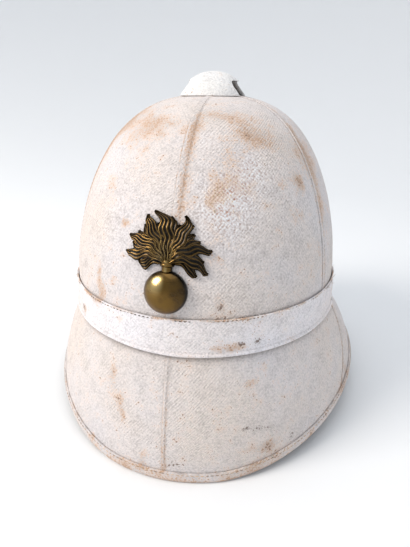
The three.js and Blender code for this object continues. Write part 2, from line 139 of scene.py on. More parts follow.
@dataclass(frozen=True)
class HelmetForm:
    """The canvas face of the helmet, with the same named sizes as its solids, in mm."""

    rim_half_width: float = 121.7
    rim_front: float = 149.5
    rim_back: float = 161.0
    rim_rise: float = 18.6
    rim_flat: float = 18.0
    crown_half_width: float = 95.0
    crown_half_length: float = 114.0
    crown_forward: float = 16.4
    crown_rise: float = 118.4
    apex_back: float = 9.6
    shoulder_power: float = 0.685
    rise_power: float = 1.176
    band_top: float = 96.0
    band_height: float = 23.3
    band_slope: float = 0.06
    band_flare: float = 1.0
    brim_collar: float = 5.0
    brim_bulge: float = 3.5
    side_seam: float = 82.5
    seam_slant: float = 20.0
    binding_width: float = 6.0
    binding_stand: float = 1.3
    fit_gap: float = 0.3
    vent_radius: float = 11.0

    @property
    def rim_middle(self) -> float:
        """Where the rim is widest, along Y."""
        return (self.rim_front - self.rim_back) / 2

    @property
    def middle(self) -> float:
        """The crown's middle along Y."""
        return self.rim_middle - self.crown_forward

    def turn(self, degrees: float) -> float:
        """The outline's own angle for a real angle from the front, grown towards +X.

        Args:
            degrees: the real angle.

        Returns:
            The outline's angle in radians, in the same whole turn.
        """
        real = math.radians(degrees)
        x, y = math.sin(real) / self.crown_half_width, math.cos(real) / self.crown_half_length
        near = math.atan2(x, y)
        return near + round((real - near) / math.tau) * math.tau

    def waist(self, turn: float, below: float) -> Vector:
        """A point of the upright wall, a distance below the band's top edge."""
        spread = self.band_flare * below / self.band_height
        x = (self.crown_half_width + spread) * math.sin(turn)
        y = self.middle - (self.crown_half_length + spread) * math.cos(turn)
        return Vector((x, y, self.band_top - self.band_slope * (y - self.middle) - below))

    def crown(self, turn: float, climb: float) -> Vector:
        """A point of the crown, with climb from 0 at the band to a right angle at the apex."""
        reach = max(0.0, math.cos(climb)) ** self.shoulder_power
        rise = max(0.0, math.sin(climb)) ** self.rise_power
        edge = self.waist(turn, 0)
        y = self.middle + (edge.y - self.middle) * reach + self.apex_back * rise
        z = self.band_top + (edge.z - self.band_top) * reach * (1 - rise) + self.crown_rise * rise
        return Vector((edge.x * reach, y, z))

    def rim(self, turn: float) -> Vector:
        """The brim's edge, which stands in the fold of the binding."""
        length = self.rim_front if math.cos(turn) > 0 else self.rim_back
        flat = math.sin(math.radians(self.rim_flat)) ** 2
        lift = self.rim_rise * max(0.0, math.sin(turn) ** 2 - flat) / (1 - flat)
        x = (self.rim_half_width - self.binding_stand) * math.sin(turn)
        y = self.rim_middle - (length - self.binding_stand) * math.cos(turn)
        return Vector((x, y, lift + self.binding_stand))

    def brim_upright(self, turn: float, share: float) -> Vector:
        """A point of the brim straight down from the band, with share from 0 to 1 at the rim."""
        foot = self.waist(turn, self.band_height)
        down = self.rim(turn) - foot
        out = Vector((down.x, down.y, 0)).normalized()
        bow = down.cross(out).cross(down).normalized()
        return foot + down * share + bow * (4 * self.brim_bulge * share * (1 - share))

    def brim(self, turn: float, share: float) -> Vector:
        """A point of the brim on a line that runs forward at the sides, as its side seams do."""
        slant = math.radians(self.seam_slant) * share * math.sin(turn)
        return self.brim_upright(turn - slant, share)

    def binding_share(self, turn: float, width: float) -> float:
        """Share of the brim's depth that lies this far above its edge."""
        return 1 - width / (self.brim(turn, 0) - self.brim(turn, 1)).length

    def pace(self, face: Callable[[float, float], Vector], turn: float, along: float) -> float:
        """How many mm of a face one radian of turn covers at a place."""
        return (face(turn + 0.05, along) - face(turn - 0.05, along)).length / 0.1

    def outward(
        self, face: Callable[[float, float], Vector], turn: float, along: float, nudge: float
    ) -> Vector:
        """The direction straight out of a face.

        Args:
            face: the face's function.
            turn: the place's outline angle.
            along: its second coordinate, which stays from 0 up.
            nudge: how far along the face the slope is taken.

        Returns:
            A unit vector.
        """
        round_it = face(turn + 0.01, along) - face(turn - 0.01, along)
        down = face(turn, along + nudge) - face(turn, max(0.0, along - nudge))
        direction = round_it.cross(down).normalized()
        inside = Vector((0, self.middle, self.band_top - self.band_height))
        return direction if direction.dot(face(turn, along) - inside) > 0 else -direction

    def crown_rows(self, spacing: float) -> list[float]:
        """Climbs that part the crown's profile into rows of equal length, up to the vent hole.

        Args:
            spacing: the wanted length of a row.

        Returns:
            The climbs from 0 to the hole's edge.
        """
        top = math.acos((self.vent_radius / self.crown_half_width) ** (1 / self.shoulder_power))
        fineness = 600
        samples = [top * i / fineness for i in range(fineness + 1)]
        points = [self.crown(math.pi / 2, climb) for climb in samples]
        lengths = run_lengths(points)
        rows = round(lengths[-1] / spacing)
        climbs = []
        for row in range(rows + 1):
            wanted = lengths[-1] * row / rows
            climbs.append(next(c for c, length in zip(samples, lengths) if length >= wanted - 1e-6))
        return climbs

    def spot(self, degrees: float, height: float) -> Vector:
        """The point of the canvas face at a real angle from the front and a height.

        Args:
            degrees: the angle, grown towards +X.
            height: the height over the rest plane.

        Returns:
            The point.
        """
        turn = self.turn(degrees)
        top = self.waist(turn, 0).z
        foot = self.waist(turn, self.band_height).z
        if foot <= height <= top:
            return self.waist(turn, top - height)
        above = height > top
        face, low, high = (self.crown, 0.0, math.pi / 2) if above else (self.brim_upright, 1.0, 0.0)
        for _ in range(HALVINGS):
            half = (low + high) / 2
            low, high = (half, high) if face(turn, half).z < height else (low, half)
        return face(turn, low)


@dataclass(frozen=True)
class Stain:
    """One soiled place of the cloth: where it is, how far it reaches and how strong it is."""

    degrees: float
    height: float
    wide: float
    tall: float
    strength: float


THREADBARE_PLACES = (
    Stain(19, 168, 15, 12, 0.8),
    Stain(14, 158, 12, 12, 0.65),
    Stain(27, 178, 12, 10, 0.6),
    Stain(18, 148, 14, 12, 0.35),
    Stain(10, 190, 6, 8, 0.4),
    Stain(42, 155, 22, 30, 0.18),
    Stain(-17, 150, 22, 30, 0.14),
    Stain(16, 115, 26, 12, 0.14),
)

RUBBED_PLACES = (
    Stain(-46, 198, 20, 10, 0.26),
    Stain(-12, 193, 3, 5, 0.4),
    Stain(-9, 199, 4, 2, 0.4),
    Stain(-16, 186, 4, 8, 0.26),
    Stain(19, 166, 10, 9, 0.2),
    Stain(16, 160, 7, 6, 0.18),
    Stain(22, 173, 7, 7, 0.18),
    Stain(45, 186, 8, 10, 0.24),
    Stain(38, 168, 3, 3, 0.3),
    Stain(46, 150, 5, 4, 0.3),
    Stain(-38, 205, 16, 4, 0.24),
    Stain(-22, 201, 12, 3, 0.3),
    Stain(-60, 150, 16, 36, 0.34),
    Stain(-75, 110, 12, 16, 0.3),
    Stain(-67, 188, 20, 14, 0.6),
    Stain(-59, 198, 14, 8, 0.42),
    Stain(-62, 176, 9, 14, 0.5),
    Stain(-66, 160, 9, 16, 0.45),
    Stain(-92, 200, 18, 10, 0.6),
    Stain(-30, 192, 10, 5, 0.24),
    Stain(-20, 197, 8, 4, 0.2),
    Stain(-18, 196, 8, 4, 0.22),
    Stain(12, 204, 9, 3, 0.3),
    Stain(22, 202, 16, 5, 0.34),
    Stain(27, 195, 7, 5, 0.45),
    Stain(33, 189, 9, 9, 0.34),
    Stain(40, 193, 12, 8, 0.3),
    Stain(20, 186, 12, 12, 0.22),
    Stain(14, 172, 7, 14, 0.32),
    Stain(11, 163, 3.5, 8, 0.34),
    Stain(6, 163, 3, 6, 0.34),
    Stain(14, 149, 8, 14, 0.2),
    Stain(-92, 165, 12, 26, 0.42),
    Stain(56, 186, 9, 16, 0.34),
    Stain(13, 133, 5, 9, 0.3),
    Stain(15, 112, 4, 5, 0.5),
    Stain(49, 167, 5, 8, 0.8),
    Stain(40, 155, 3, 4, 0.34),
    Stain(34, 146, 4, 3, 0.34),
    Stain(-16, 149, 3.4, 2.6, 0.9),
    Stain(-28, 163, 6, 10, 0.3),
    Stain(-25, 117, 2.6, 12, 0.7),
    Stain(-23, 106, 3.8, 8, 0.85),
    Stain(-18, 117, 2.6, 3, 0.4),
    Stain(-27, 101, 4, 3.5, 0.75),
    Stain(-36, 85, 5, 5, 0.5),
    Stain(57, 128, 3, 16, 0.4),
    Stain(64, 176, 8, 18, 0.42),
    Stain(66, 146, 8, 22, 0.38),
    Stain(27, 20, 5, 5, 0.5),
    Stain(18, 84, 11, 2.8, 0.6),
    Stain(-16, 61, 3.6, 5, 0.6),
    Stain(-15, 53, 4.5, 5, 0.42),
    Stain(-12, 45, 3, 7.5, 0.6),
    Stain(-11, 38, 1.6, 5, 0.6),
    Stain(-47, 44, 5, 5, 0.3),
    Stain(-5, 11, 3, 7, 0.6),
    Stain(0, 22, 2, 14, 0.25),
    Stain(23, 62, 4.5, 2.5, 0.46),
    Stain(26, 18, 7, 4, 0.5),
    Stain(21, 20, 6, 1.6, 0.42),
    Stain(68, 24, 6, 10, 0.5),
    Stain(42, 20, 5, 3, 0.34),
    Stain(150, 170, 16, 14, 0.42),
    Stain(-160, 130, 12, 20, 0.36),
    Stain(118, 60, 12, 8, 0.36),
    Stain(-135, 40, 12, 9, 0.4),
    Stain(176, 24, 14, 8, 0.36),
)

DIRTY_PLACES = (
    Stain(49, 166, 2.4, 4, 0.5),
    Stain(28, 194, 3.5, 2.5, 0.34),
    Stain(15, 109, 2, 2, 0.85),
    Stain(-36.5, 86, 2.2, 3.4, 0.85),
    Stain(21.4, 86.4, 2.4, 1.9, 0.95),
    Stain(26.3, 85.6, 2.8, 2.4, 1),
    Stain(81, 75, 2.6, 3.6, 0.7),
    Stain(-16, 62, 1, 1.2, 0.6),
    Stain(-12.5, 46, 1, 1.6, 0.6),
    Stain(2.8, 12.6, 6, 2.6, 0.6),
    Stain(21, 34.6, 2.6, 2, 0.9),
    Stain(24, 33.2, 3.6, 2, 0.9),
    Stain(27.4, 31.6, 3.2, 2, 0.9),
    Stain(30, 29.8, 2.2, 1.8, 0.66),
    Stain(26.5, 18.6, 3.6, 3, 0.7),
    Stain(34.2, 19, 2.2, 2.8, 0.85),
    Stain(16, 66, 1.6, 4.5, 0.4),
    Stain(57, 58, 1, 3, 0.4),
    Stain(-140, 150, 2.5, 3, 0.6),
    Stain(120, 40, 2.2, 2, 0.6),
)

PLACES = {
    Soil.THREADBARE: THREADBARE_PLACES,
    Soil.RUBBED: RUBBED_PLACES,
    Soil.GRIME: DIRTY_PLACES,
}


class Soiling:
    """Tells how soiled the cloth is at any point of the helmet."""

    reach = 7  # a stain counts out to the square root of this, in its own widths

    def __init__(self, form: HelmetForm, places: dict[Soil, tuple[Stain, ...]]) -> None:
        """Finds each stain's middle on the form."""
        self.spots = [
            (form.spot(stain.degrees, stain.height), stain, soil.value)
            for soil, stains in places.items()
            for stain in stains
        ]

    def at(self, point: Vector) -> list[float]:
        """How soiled a point is.

        Args:
            point: the point on the cloth.

        Returns:
            One value, mostly from 0 to 1, for each kind of soil.
        """
        values = [0.0] * len(Soil)
        for spot, stain, soil in self.spots:
            side = math.hypot(point.x - spot.x, point.y - spot.y) / stain.wide
            up = (point.z - spot.z) / stain.tall
            far = side * side + up * up
            if far < self.reach:
                values[soil] += stain.strength * math.exp(-far)
        return values


@dataclass(frozen=True)
class ClothPoint:
    """One corner of a laid cloth: its place, its place on the flat weave and its soiling, which also holds
    its painted shade.
    """

    place: Vector
    weave: tuple[float, float]
    soil: list[float]


@dataclass(frozen=True)
class Cut:
    """The flat size of a piece of cloth, in metres."""

    width: float
    length: float
    area: float


def deselect() -> None:
    """Leaves nothing selected."""
    bpy.ops.object.select_all(action="DESELECT")


def take(piece: bpy.types.Object) -> None:
    """Selects one piece alone and makes it the active one."""
    deselect()
    piece.select_set(True)
    bpy.context.view_layer.objects.active = piece


def apply_modifier(piece: bpy.types.Object, kind: str, **settings) -> None:
    """Adds a modifier to a piece and applies it.

    Args:
        piece: the mesh.
        kind: the modifier's type.
        settings: the modifier's properties.
    """
    take(piece)
    modifier = piece.modifiers.new(kind.title(), kind)
    for name, value in settings.items():
        setattr(modifier, name, value)
    bpy.ops.object.modifier_apply(modifier=modifier.name)


def smooth(piece: bpy.types.Object, degrees: float) -> None:
    """Shades a piece smooth, with a crease wherever it turns by more than this."""
    take(piece)
    bpy.ops.object.shade_smooth_by_angle(angle=math.radians(degrees))


def join(pieces: list[bpy.types.Object], name: str) -> bpy.types.Object:
    """Makes one piece of several.

    Args:
        pieces: the meshes.
        name: the new piece's name.

    Returns:
        The joined piece.
    """
    take(pieces[0])
    for piece in pieces:
        piece.select_set(True)
    bpy.ops.object.join()
    pieces[0].name = pieces[0].data.name = name
    return pieces[0]


def lay_cloth(
    name: str, across: int, along: int, corner: Callable[[int, int], ClothPoint], closed: bool = False
) -> tuple[bpy.types.Object, Cut]:
    """Lays a grid of cloth over a form, corner by corner.

    Args:
        name: the piece's name.
        across: how many corners each row has.
        along: how many rows there are.
        corner: gives the cloth point for a corner's column and row.
        closed: whether the last column meets the first.

    Returns:
        The cloth, with no thickness yet, and its flat size.
    """
    deselect()
    bpy.ops.mesh.primitive_grid_add(x_subdivisions=across - 1, y_subdivisions=along - 1, size=2)
    cloth = bpy.context.object
    cloth.name = cloth.data.name = name
    mesh = cloth.data
    places = {}
    weave = []
    soil_and_painted_shade = []
    bare = []
    for vertex in mesh.vertices:
        column = round((vertex.co.x + 1) / 2 * (across - 1))
        row = round((vertex.co.y + 1) / 2 * (along - 1))
        point = corner(column, row)
        places[column, row] = point.place * MM
        vertex.co = places[column, row]
        weave.append(point.weave)
        levels = [min(1.0, max(0.0, value)) for value in point.soil]
        # the first three values go into the soiling attribute; the third of them is painted shade
        soil_and_painted_shade.extend((*levels[:3], 1.0))
        bare.append(levels[Soil.THREADBARE.value])
    layer = mesh.uv_layers.active
    layer.name = "weave"
    for loop in mesh.loops:
        layer.data[loop.index].uv = weave[loop.vertex_index]
    attribute = mesh.color_attributes.new(name="soiling", type="FLOAT_COLOR", domain="POINT")
    attribute.data.foreach_set("color", soil_and_painted_shade)
    mesh.attributes.new("threadbare", "FLOAT", "POINT").data.foreach_set("value", bare)
    rows = [sum((places[i, j] - places[i + 1, j]).length for i in range(across - 1)) for j in range(along)]
    lines = [sum((places[i, j] - places[i, j + 1]).length for j in range(along - 1)) for i in range(across)]
    width, length = max(rows), max(lines)
    cut = Cut(width, length, min(width * length, sum(face.area for face in mesh.polygons)))
    log.info("%s: %.1f by %.1f mm flat, %.1f cm2", name, width / MM, length / MM, cut.area * 1e4)
    if closed:
        take(cloth)
        bpy.ops.object.mode_set(mode="EDIT")
        bpy.ops.mesh.select_all(action="SELECT")
        bpy.ops.mesh.remove_doubles(threshold=0.02 * MM)
        bpy.ops.object.mode_set(mode="OBJECT")
    return cloth, cut


def hand_over(
    piece: bpy.types.Object, finish: bpy.types.Material, stands_for: tuple[str, ...] = ()
) -> None:
    """Gives a piece its finish, hangs it on the body and hides the solids that it takes the place of.

    Args:
        piece: the finished mesh.
        finish: its material.
        stands_for: the solids that it takes the place of.
    """
    piece.data.materials.clear()
    piece.data.materials.append(finish)
    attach(piece, BODY)
    if stands_for:
        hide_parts(*stands_for)
    log.info("%s: %d faces", piece.name, len(piece.data.polygons))


@dataclass(frozen=True)
class WhitenedDrill:
    """Cotton drill under dried whitening: chalky and matt, with tan cloth where it is rubbed."""

    name: str = "whitened cotton drill"
    cool_white: str = "#D1CCCD"
    warm_white: str = "#D9CFC9"
    peach: str = "#CFBBAE"
    bare_cloth: str = "#C7A68C"
    bare_dark: str = "#927561"
    dirt: str = "#6B5B52"
    # painted shade: the colour laid over the cloth where the soiling attribute's third channel asks for
    # shade
    painted_shade: str = "#5B4C40"
    thread_gap: str = "#C07840"
    rubbed_all_over: float = 0.0
    thread: float = 2.3  # mm; real drill has about 0.6 mm, too fine to show here
    weave_depth: float = 0.3
    slub_strain: float = 4.0  # radians by which uneven yarn shifts the threads
    grit: float = 1.25  # mm, the whitening's crumbs

    def threads(self, add: Callable, broad: bpy.types.NodeSocket) -> tuple:
        """The crossing threads, uneven as spun yarn is, and fainter where the whitening is thick.

        Args:
            add: adds a node to the finish.
            broad: the broad swells of the whitening's thickness.

        Returns:
            The threads' height, from -1 to 1, and the yarn's thick places.
        """
        flat = add("UVMap", {}, uv_map="weave")
        slubs = []
        for squeeze in ((0.12, 1.1, 1.0), (1.1, 0.12, 1.0)):
            run = add("VectorMath", {0: flat, 1: squeeze}, operation="MULTIPLY")
            slubs.append(add("TexNoise", {"Vector": run, "Scale": 1.0, "Detail": 2.0}))
        slub = add("Math", {0: slubs[0], 1: slubs[1]}, operation="ADD")
        strain = add("Math", {0: slub, 1: self.slub_strain}, operation="MULTIPLY")
        waves = []
        for axis in ("X", "Y"):
            across = add("SeparateXYZ", {0: flat}, out=axis)
            turn = {0: across, 1: math.tau / self.thread, 2: strain}
            waves.append(add("Math", {0: add("Math", turn, operation="MULTIPLY_ADD")}, operation="SINE"))
        weave = add("Math", {0: waves[0], 1: waves[1]}, operation="MULTIPLY")
        seen = {0: broad, 1: 0.35, 2: 0.65, 3: 0.25, 4: 1.0}
        shown = add("MapRange", seen, interpolation_type="SMOOTHSTEP")
        return add("Math", {0: weave, 1: shown}, operation="MULTIPLY"), slub

    def whitening(
        self, add: Callable, broad: bpy.types.NodeSocket, stained: bpy.types.NodeSocket
    ) -> bpy.types.NodeSocket:
        """The whitening's own colour, cool to warm in swells, with a peach blush round the stains.

        Args:
            add: adds a node to the finish.
            broad: the broad swells of the whitening's thickness.
            stained: how near a point is to being rubbed bare.

        Returns:
            The colour.
        """
        swell = add("MapRange", {0: broad, 1: 0.35, 2: 0.65})
        whites = {0: swell, 6: to_linear(self.cool_white), 7: to_linear(self.warm_white)}
        white = add("Mix", whites, out=2, data_type="RGBA")
        blush = add("MapRange", {0: stained, 1: 1.58, 2: 2.2}, interpolation_type="SMOOTHSTEP")
        return add("Mix", {0: blush, 6: white, 7: to_linear(self.peach)}, out=2, data_type="RGBA")

    def material(self) -> bpy.types.Material:
        """The cloth's material."""
        material = bpy.data.materials.new(self.name)
        add = partial(add_node, empty_tree(material))
        place = add("TexCoord", {}, out="Object")
        soiled = add("Attribute", {}, out="Color", attribute_name="soiling")
        soil = {
            kind: add("SeparateColor", {0: soiled}, out=kind.value)
            for kind in (Soil.RUBBED, Soil.GRIME, Soil.SHADE)
        }
        thin = add("Attribute", {}, out="Fac", attribute_name="threadbare")
        broad = add("TexNoise", {"Vector": place, "Scale": 18.0, "Detail": 3.0})
        blotch = add("TexNoise", {"Vector": place, "Scale": 110.0, "Detail": 5.0, "Roughness": 0.62})
        crumb = {"Vector": place, "Scale": 1 / (self.grit * MM), "Detail": 1.5, "Roughness": 0.6}
        grain = add("TexNoise", crumb)
        threads, slub = self.threads(add, broad)

        stained = add("Math", {0: blotch, 1: 2.2, 2: soil[Soil.RUBBED]}, operation="MULTIPLY_ADD")
        stained = add("Math", {0: grain, 1: 0.8, 2: stained}, operation="MULTIPLY_ADD")
        colour = self.whitening(add, broad, stained)
        bares = {0: grain, 6: to_linear(self.bare_dark), 7: to_linear(self.bare_cloth)}
        bare = add("Mix", bares, out=2, data_type="RGBA")
        for kind, base, low, high, under in (
            (Soil.RUBBED, self.rubbed_all_over, 0.56, 0.88, bare),
            (Soil.GRIME, 0.0, 0.42, 1.0, to_linear(self.dirt)),
        ):
            worn = add("Math", {0: grain, 1: 2.9, 2: soil[kind]}, operation="MULTIPLY_ADD")
            worn = add("Math", {0: blotch, 1: 1.9, 2: worn}, operation="MULTIPLY_ADD")
            worn = add("Math", {0: threads, 1: -0.06, 2: worn}, operation="MULTIPLY_ADD")
            worn = add("Math", {0: worn, 1: base - 2.42}, operation="ADD")
            patches = {0: worn, 1: low, 2: high, 3: 0.0, 4: 0.9}
            mask = add("MapRange", patches, interpolation_type="SMOOTHSTEP")
            colour = add("Mix", {0: mask, 6: colour, 7: under}, out=2, data_type="RGBA")
        # painted shade: the shade colour laid over the cloth by the soiling attribute's third channel
        shaded = {0: soil[Soil.SHADE], 6: colour, 7: to_linear(self.painted_shade)}
        colour = add("Mix", shaded, out=2, data_type="RGBA")

        seen = add("Math", {0: thin, 1: 0.7, 2: 0.035}, operation="MULTIPLY_ADD")
        lit = add("Math", {0: threads, 1: seen, 2: 0.67}, operation="MULTIPLY_ADD")
        rough = add("Math", {0: thin, 1: 2.0, 2: 0.82}, operation="MULTIPLY_ADD")
        crumbs = add("Math", {0: grain, 1: 0.5}, operation="SUBTRACT")
        lit = add("Math", {0: crumbs, 1: rough, 2: lit}, operation="MULTIPLY_ADD")
        lit = add("Math", {0: blotch, 1: 0.65, 2: lit}, operation="MULTIPLY_ADD")
        gap = add("Mix", {0: thin, 6: (0, 0, 0, 1), 7: to_linear(self.thread_gap)}, out=2, data_type="RGBA")
        lit = add("Mix", {0: lit, 6: gap, 7: (1, 1, 1, 1)}, out=2, data_type="RGBA", clamp_factor=False)
        colour = add("Mix", {0: 1.0, 6: colour, 7: lit}, out=2, data_type="RGBA", blend_type="MULTIPLY")

        relief = add("Math", {0: threads, 1: self.weave_depth, 2: grain}, operation="MULTIPLY_ADD")
        relief = add("Math", {0: slub, 1: 0.3, 2: relief}, operation="MULTIPLY_ADD")
        chalk = {
            "Base Color": colour,
            "Roughness": 0.93,
            "Specular IOR Level": 0.2,
            "Sheen Weight": 0.15,
            "Sheen Roughness": 0.6,
            "Normal": add("Bump", {"Height": relief, "Strength": 0.8, "Distance": 0.7 * MM}),
        }
        add("OutputMaterial", {0: add("BsdfPrincipled", chalk)})
        return material


@dataclass(frozen=True)
class CottonThread:
    """Waxed cotton sewing thread, gone tan and dirty, with a dull shine."""

    name: str = "waxed cotton thread"
    light: str = "#C9AE90"
    dark: str = "#6E5846"

    def material(self) -> bpy.types.Material:
        """The thread's material."""
        material = bpy.data.materials.new(self.name)
        add = partial(add_node, empty_tree(material))
        place = add("TexCoord", {}, out="Object")
        uneven = add("TexNoise", {"Vector": place, "Scale": 120.0, "Detail": 3.0})
        share = add("MapRange", {0: uneven, 1: 0.38, 2: 0.62})
        tans = {0: share, 6: to_linear(self.dark), 7: to_linear(self.light)}
        twist = add("TexWave", {"Vector": place, "Scale": 900.0}, out=1, bands_direction="DIAGONAL")
        yarn = {
            "Base Color": add("Mix", tans, out=2, data_type="RGBA"),
            "Roughness": 0.75,
            "Normal": add("Bump", {"Height": twist, "Strength": 0.4, "Distance": 0.1 * MM}),
        }
        add("OutputMaterial", {0: add("BsdfPrincipled", yarn)})
        return material


@dataclass(frozen=True)
class PressedCork:
    """Pressed cork: granules of 2 to 4 mm in shades of brown, dry and matt."""

    name: str = "pressed cork"
    pale: str = "#C49A6C"
    mid: str = "#A67A4E"
    dark: str = "#6F4A2C"
    granule: float = 3.0

    def material(self) -> bpy.types.Material:
        """The cork's material."""
        material = bpy.data.materials.new(self.name)
        add = partial(add_node, empty_tree(material))
        place = add("TexCoord", {}, out="Object")
        granules = {"Vector": place, "Scale": 1 / (self.granule * MM)}
        tint = add("SeparateColor", {0: add("TexVoronoi", granules, out="Color")})
        browns = {0: tint, 6: to_linear(self.mid), 7: to_linear(self.pale)}
        colour = add("Mix", browns, out=2, data_type="RGBA")
        fleck = add("TexNoise", {"Vector": place, "Scale": 900.0, "Detail": 4.0})
        spotted = add("MapRange", {0: fleck, 1: 0.56, 2: 0.7, 3: 0.0, 4: 0.8})
        colour = add("Mix", {0: spotted, 6: colour, 7: to_linear(self.dark)}, out=2, data_type="RGBA")
        edges = add("TexVoronoi", granules, feature="DISTANCE_TO_EDGE")
        dry = {
            "Base Color": colour,
            "Roughness": 0.9,
            "Normal": add("Bump", {"Height": edges, "Strength": 0.5, "Distance": 0.4 * MM}),
        }
        add("OutputMaterial", {0: add("BsdfPrincipled", dry)})
        return material


@dataclass(frozen=True)
class AgedBrass:
    """Cast brass, browned with age: dark in the hollows and rubbed to gold where it stands out, with
    painted shade on the right of the ball and flame and a painted highlight on the ball.
    """

    name: str = "aged cast brass"
    hollow: str = "#0F0D0B"
    browned: str = "#6A5023"
    rubbed: str = "#D6BD82"
    tarnish: str = "#352719"
    roughness: float = 0.2

    def material(self) -> bpy.types.Material:
        """The brass's material."""
        material = bpy.data.materials.new(self.name)
        add = partial(add_node, empty_tree(material))
        place = add("TexCoord", {}, out="Object")
        # the attribute read here holds real wear, and also painted shade on the right of the ball and flame
        # and a painted highlight on the ball
        height = add("Attribute", {}, out="Fac", attribute_name="wear_and_painted_light")
        cloudy = add("TexNoise", {"Vector": place, "Scale": 160.0, "Detail": 4.0})
        fine = add("TexNoise", {"Vector": place, "Scale": 1400.0, "Detail": 2.0})
        above = add("MapRange", {0: height, 1: 0.2, 2: 0.85}, interpolation_type="SMOOTHSTEP")
        # rubbed gold on the ridges, which on the ball also makes a painted highlight
        rubbed_and_painted_highlight = {0: height, 1: 0.84, 2: 1.0, 3: 0.0, 4: 0.7}
        top = add("MapRange", rubbed_and_painted_highlight, interpolation_type="SMOOTHSTEP")
        blot = add("MapRange", {0: cloudy, 1: 0.45, 2: 0.7, 3: 0.0, 4: 0.7})
        browns = {0: blot, 6: to_linear(self.browned), 7: to_linear(self.tarnish)}
        body = add("Mix", browns, out=2, data_type="RGBA")
        body = add("Mix", {0: above, 6: to_linear(self.hollow), 7: body}, out=2, data_type="RGBA")
        body = add("Mix", {0: top, 6: body, 7: to_linear(self.rubbed)}, out=2, data_type="RGBA")
        dull = {0: cloudy, 1: 0.3, 2: 0.7, 3: self.roughness - 0.06, 4: self.roughness + 0.12}
        brass = {
            "Base Color": body,
            "Metallic": 1.0,
            "Roughness": add("MapRange", dull),
            "Coat Weight": 0.22,
            "Coat Roughness": 0.16,
            "Normal": add("Bump", {"Height": fine, "Strength": 0.12, "Distance": 0.1 * MM}),
        }
        add("OutputMaterial", {0: add("BsdfPrincipled", brass)})
        return material


@dataclass(frozen=True)
class Seam:
    """A lapped seam: a doubled strip along one edge, with a rolled ridge, over the plain edge."""

    strip: float  # mm, the doubled strip's width
    ridge: float = 0.75
    lap: float = 0.42

    def stands(self, from_edge: float) -> float:
        """How far the strip stands out at a distance from the seam."""
        if from_edge < 0.7:
            return 0.05 + (self.ridge - 0.05) * smooth_mix(0, 0.35, from_edge)
        if from_edge < 1.5:
            return self.lap + (self.ridge - self.lap) * (1 - smooth_mix(0.7, 1.4, from_edge))
        return self.lap * (1 - smooth_mix(self.strip - 0.35, self.strip + 0.35, from_edge))

    def columns(self) -> list[float]:
        """Distances from the seam at which the strip's shape needs a line of corners."""
        return [0, 0.35, 0.7, 1.4, self.strip - 0.4, self.strip, self.strip + 0.4]


PLAIN_COLUMNS = (1.0, 0.4, 0.0)  # mm from a panel's plain edge
GORES = ("front_right", "side_right", "back_right", "back_left", "side_left", "front_left")


@dataclass(frozen=True)
class PanelLines:
    """The lines of a panel between two seams: some at set distances, the rest spread evenly."""

    start: float
    end: float
    seam: Seam
    between: int

    @property
    def count(self) -> int:
        """How many lines there are."""
        return len(self.seam.columns()) + self.between + len(PLAIN_COLUMNS)

    def place(self, column: int, pace: float, gap: float) -> tuple[float, float, float]:
        """Where a line runs at one height.

        Args:
            column: the line's number.
            pace: mm for each radian of turn at that height.
            gap: half the seam's gap.

        Returns:
            The line's turn, and its distances from the panel's first and last edge in mm.
        """
        near = [gap + d for d in self.seam.columns()]
        far = [gap + d for d in PLAIN_COLUMNS]
        width = pace * (self.end - self.start)
        if column < len(near):
            at = near[column]
        elif column < len(near) + self.between:
            share = (column - len(near) + 1) / (self.between + 1)
            at = near[-1] + (width - far[0] - near[-1]) * share
        else:
            at = width - far[column - len(near) - self.between]
        return self.start + at / pace, at - gap, width - at - gap


def seam_path(
    cover: "CrownCover | BrimCover",
    face: Callable[[float, float], Vector],
    start: float,
    alongs: list[float],
    from_edge: float,
) -> list[Vector]:
    """A line on a seam's strip, where its stitches lie.

    Args:
        cover: the cover with the seam.
        face: the function of the face that it lies on.
        start: the seam's outline angle.
        alongs: the face's second coordinate at each point of the line.
        from_edge: how far from the seam the line runs.

    Returns:
        The line's points.
    """
    path = []
    for along in alongs:
        turn = start + (from_edge + cover.half_gap) / cover.form.pace(face, start, along)
        point = face(turn, along)
        out = cover.form.outward(face, turn, along, NUDGE)
        path.append(point + out * cover.relief(point, from_edge, FAR))
    return path


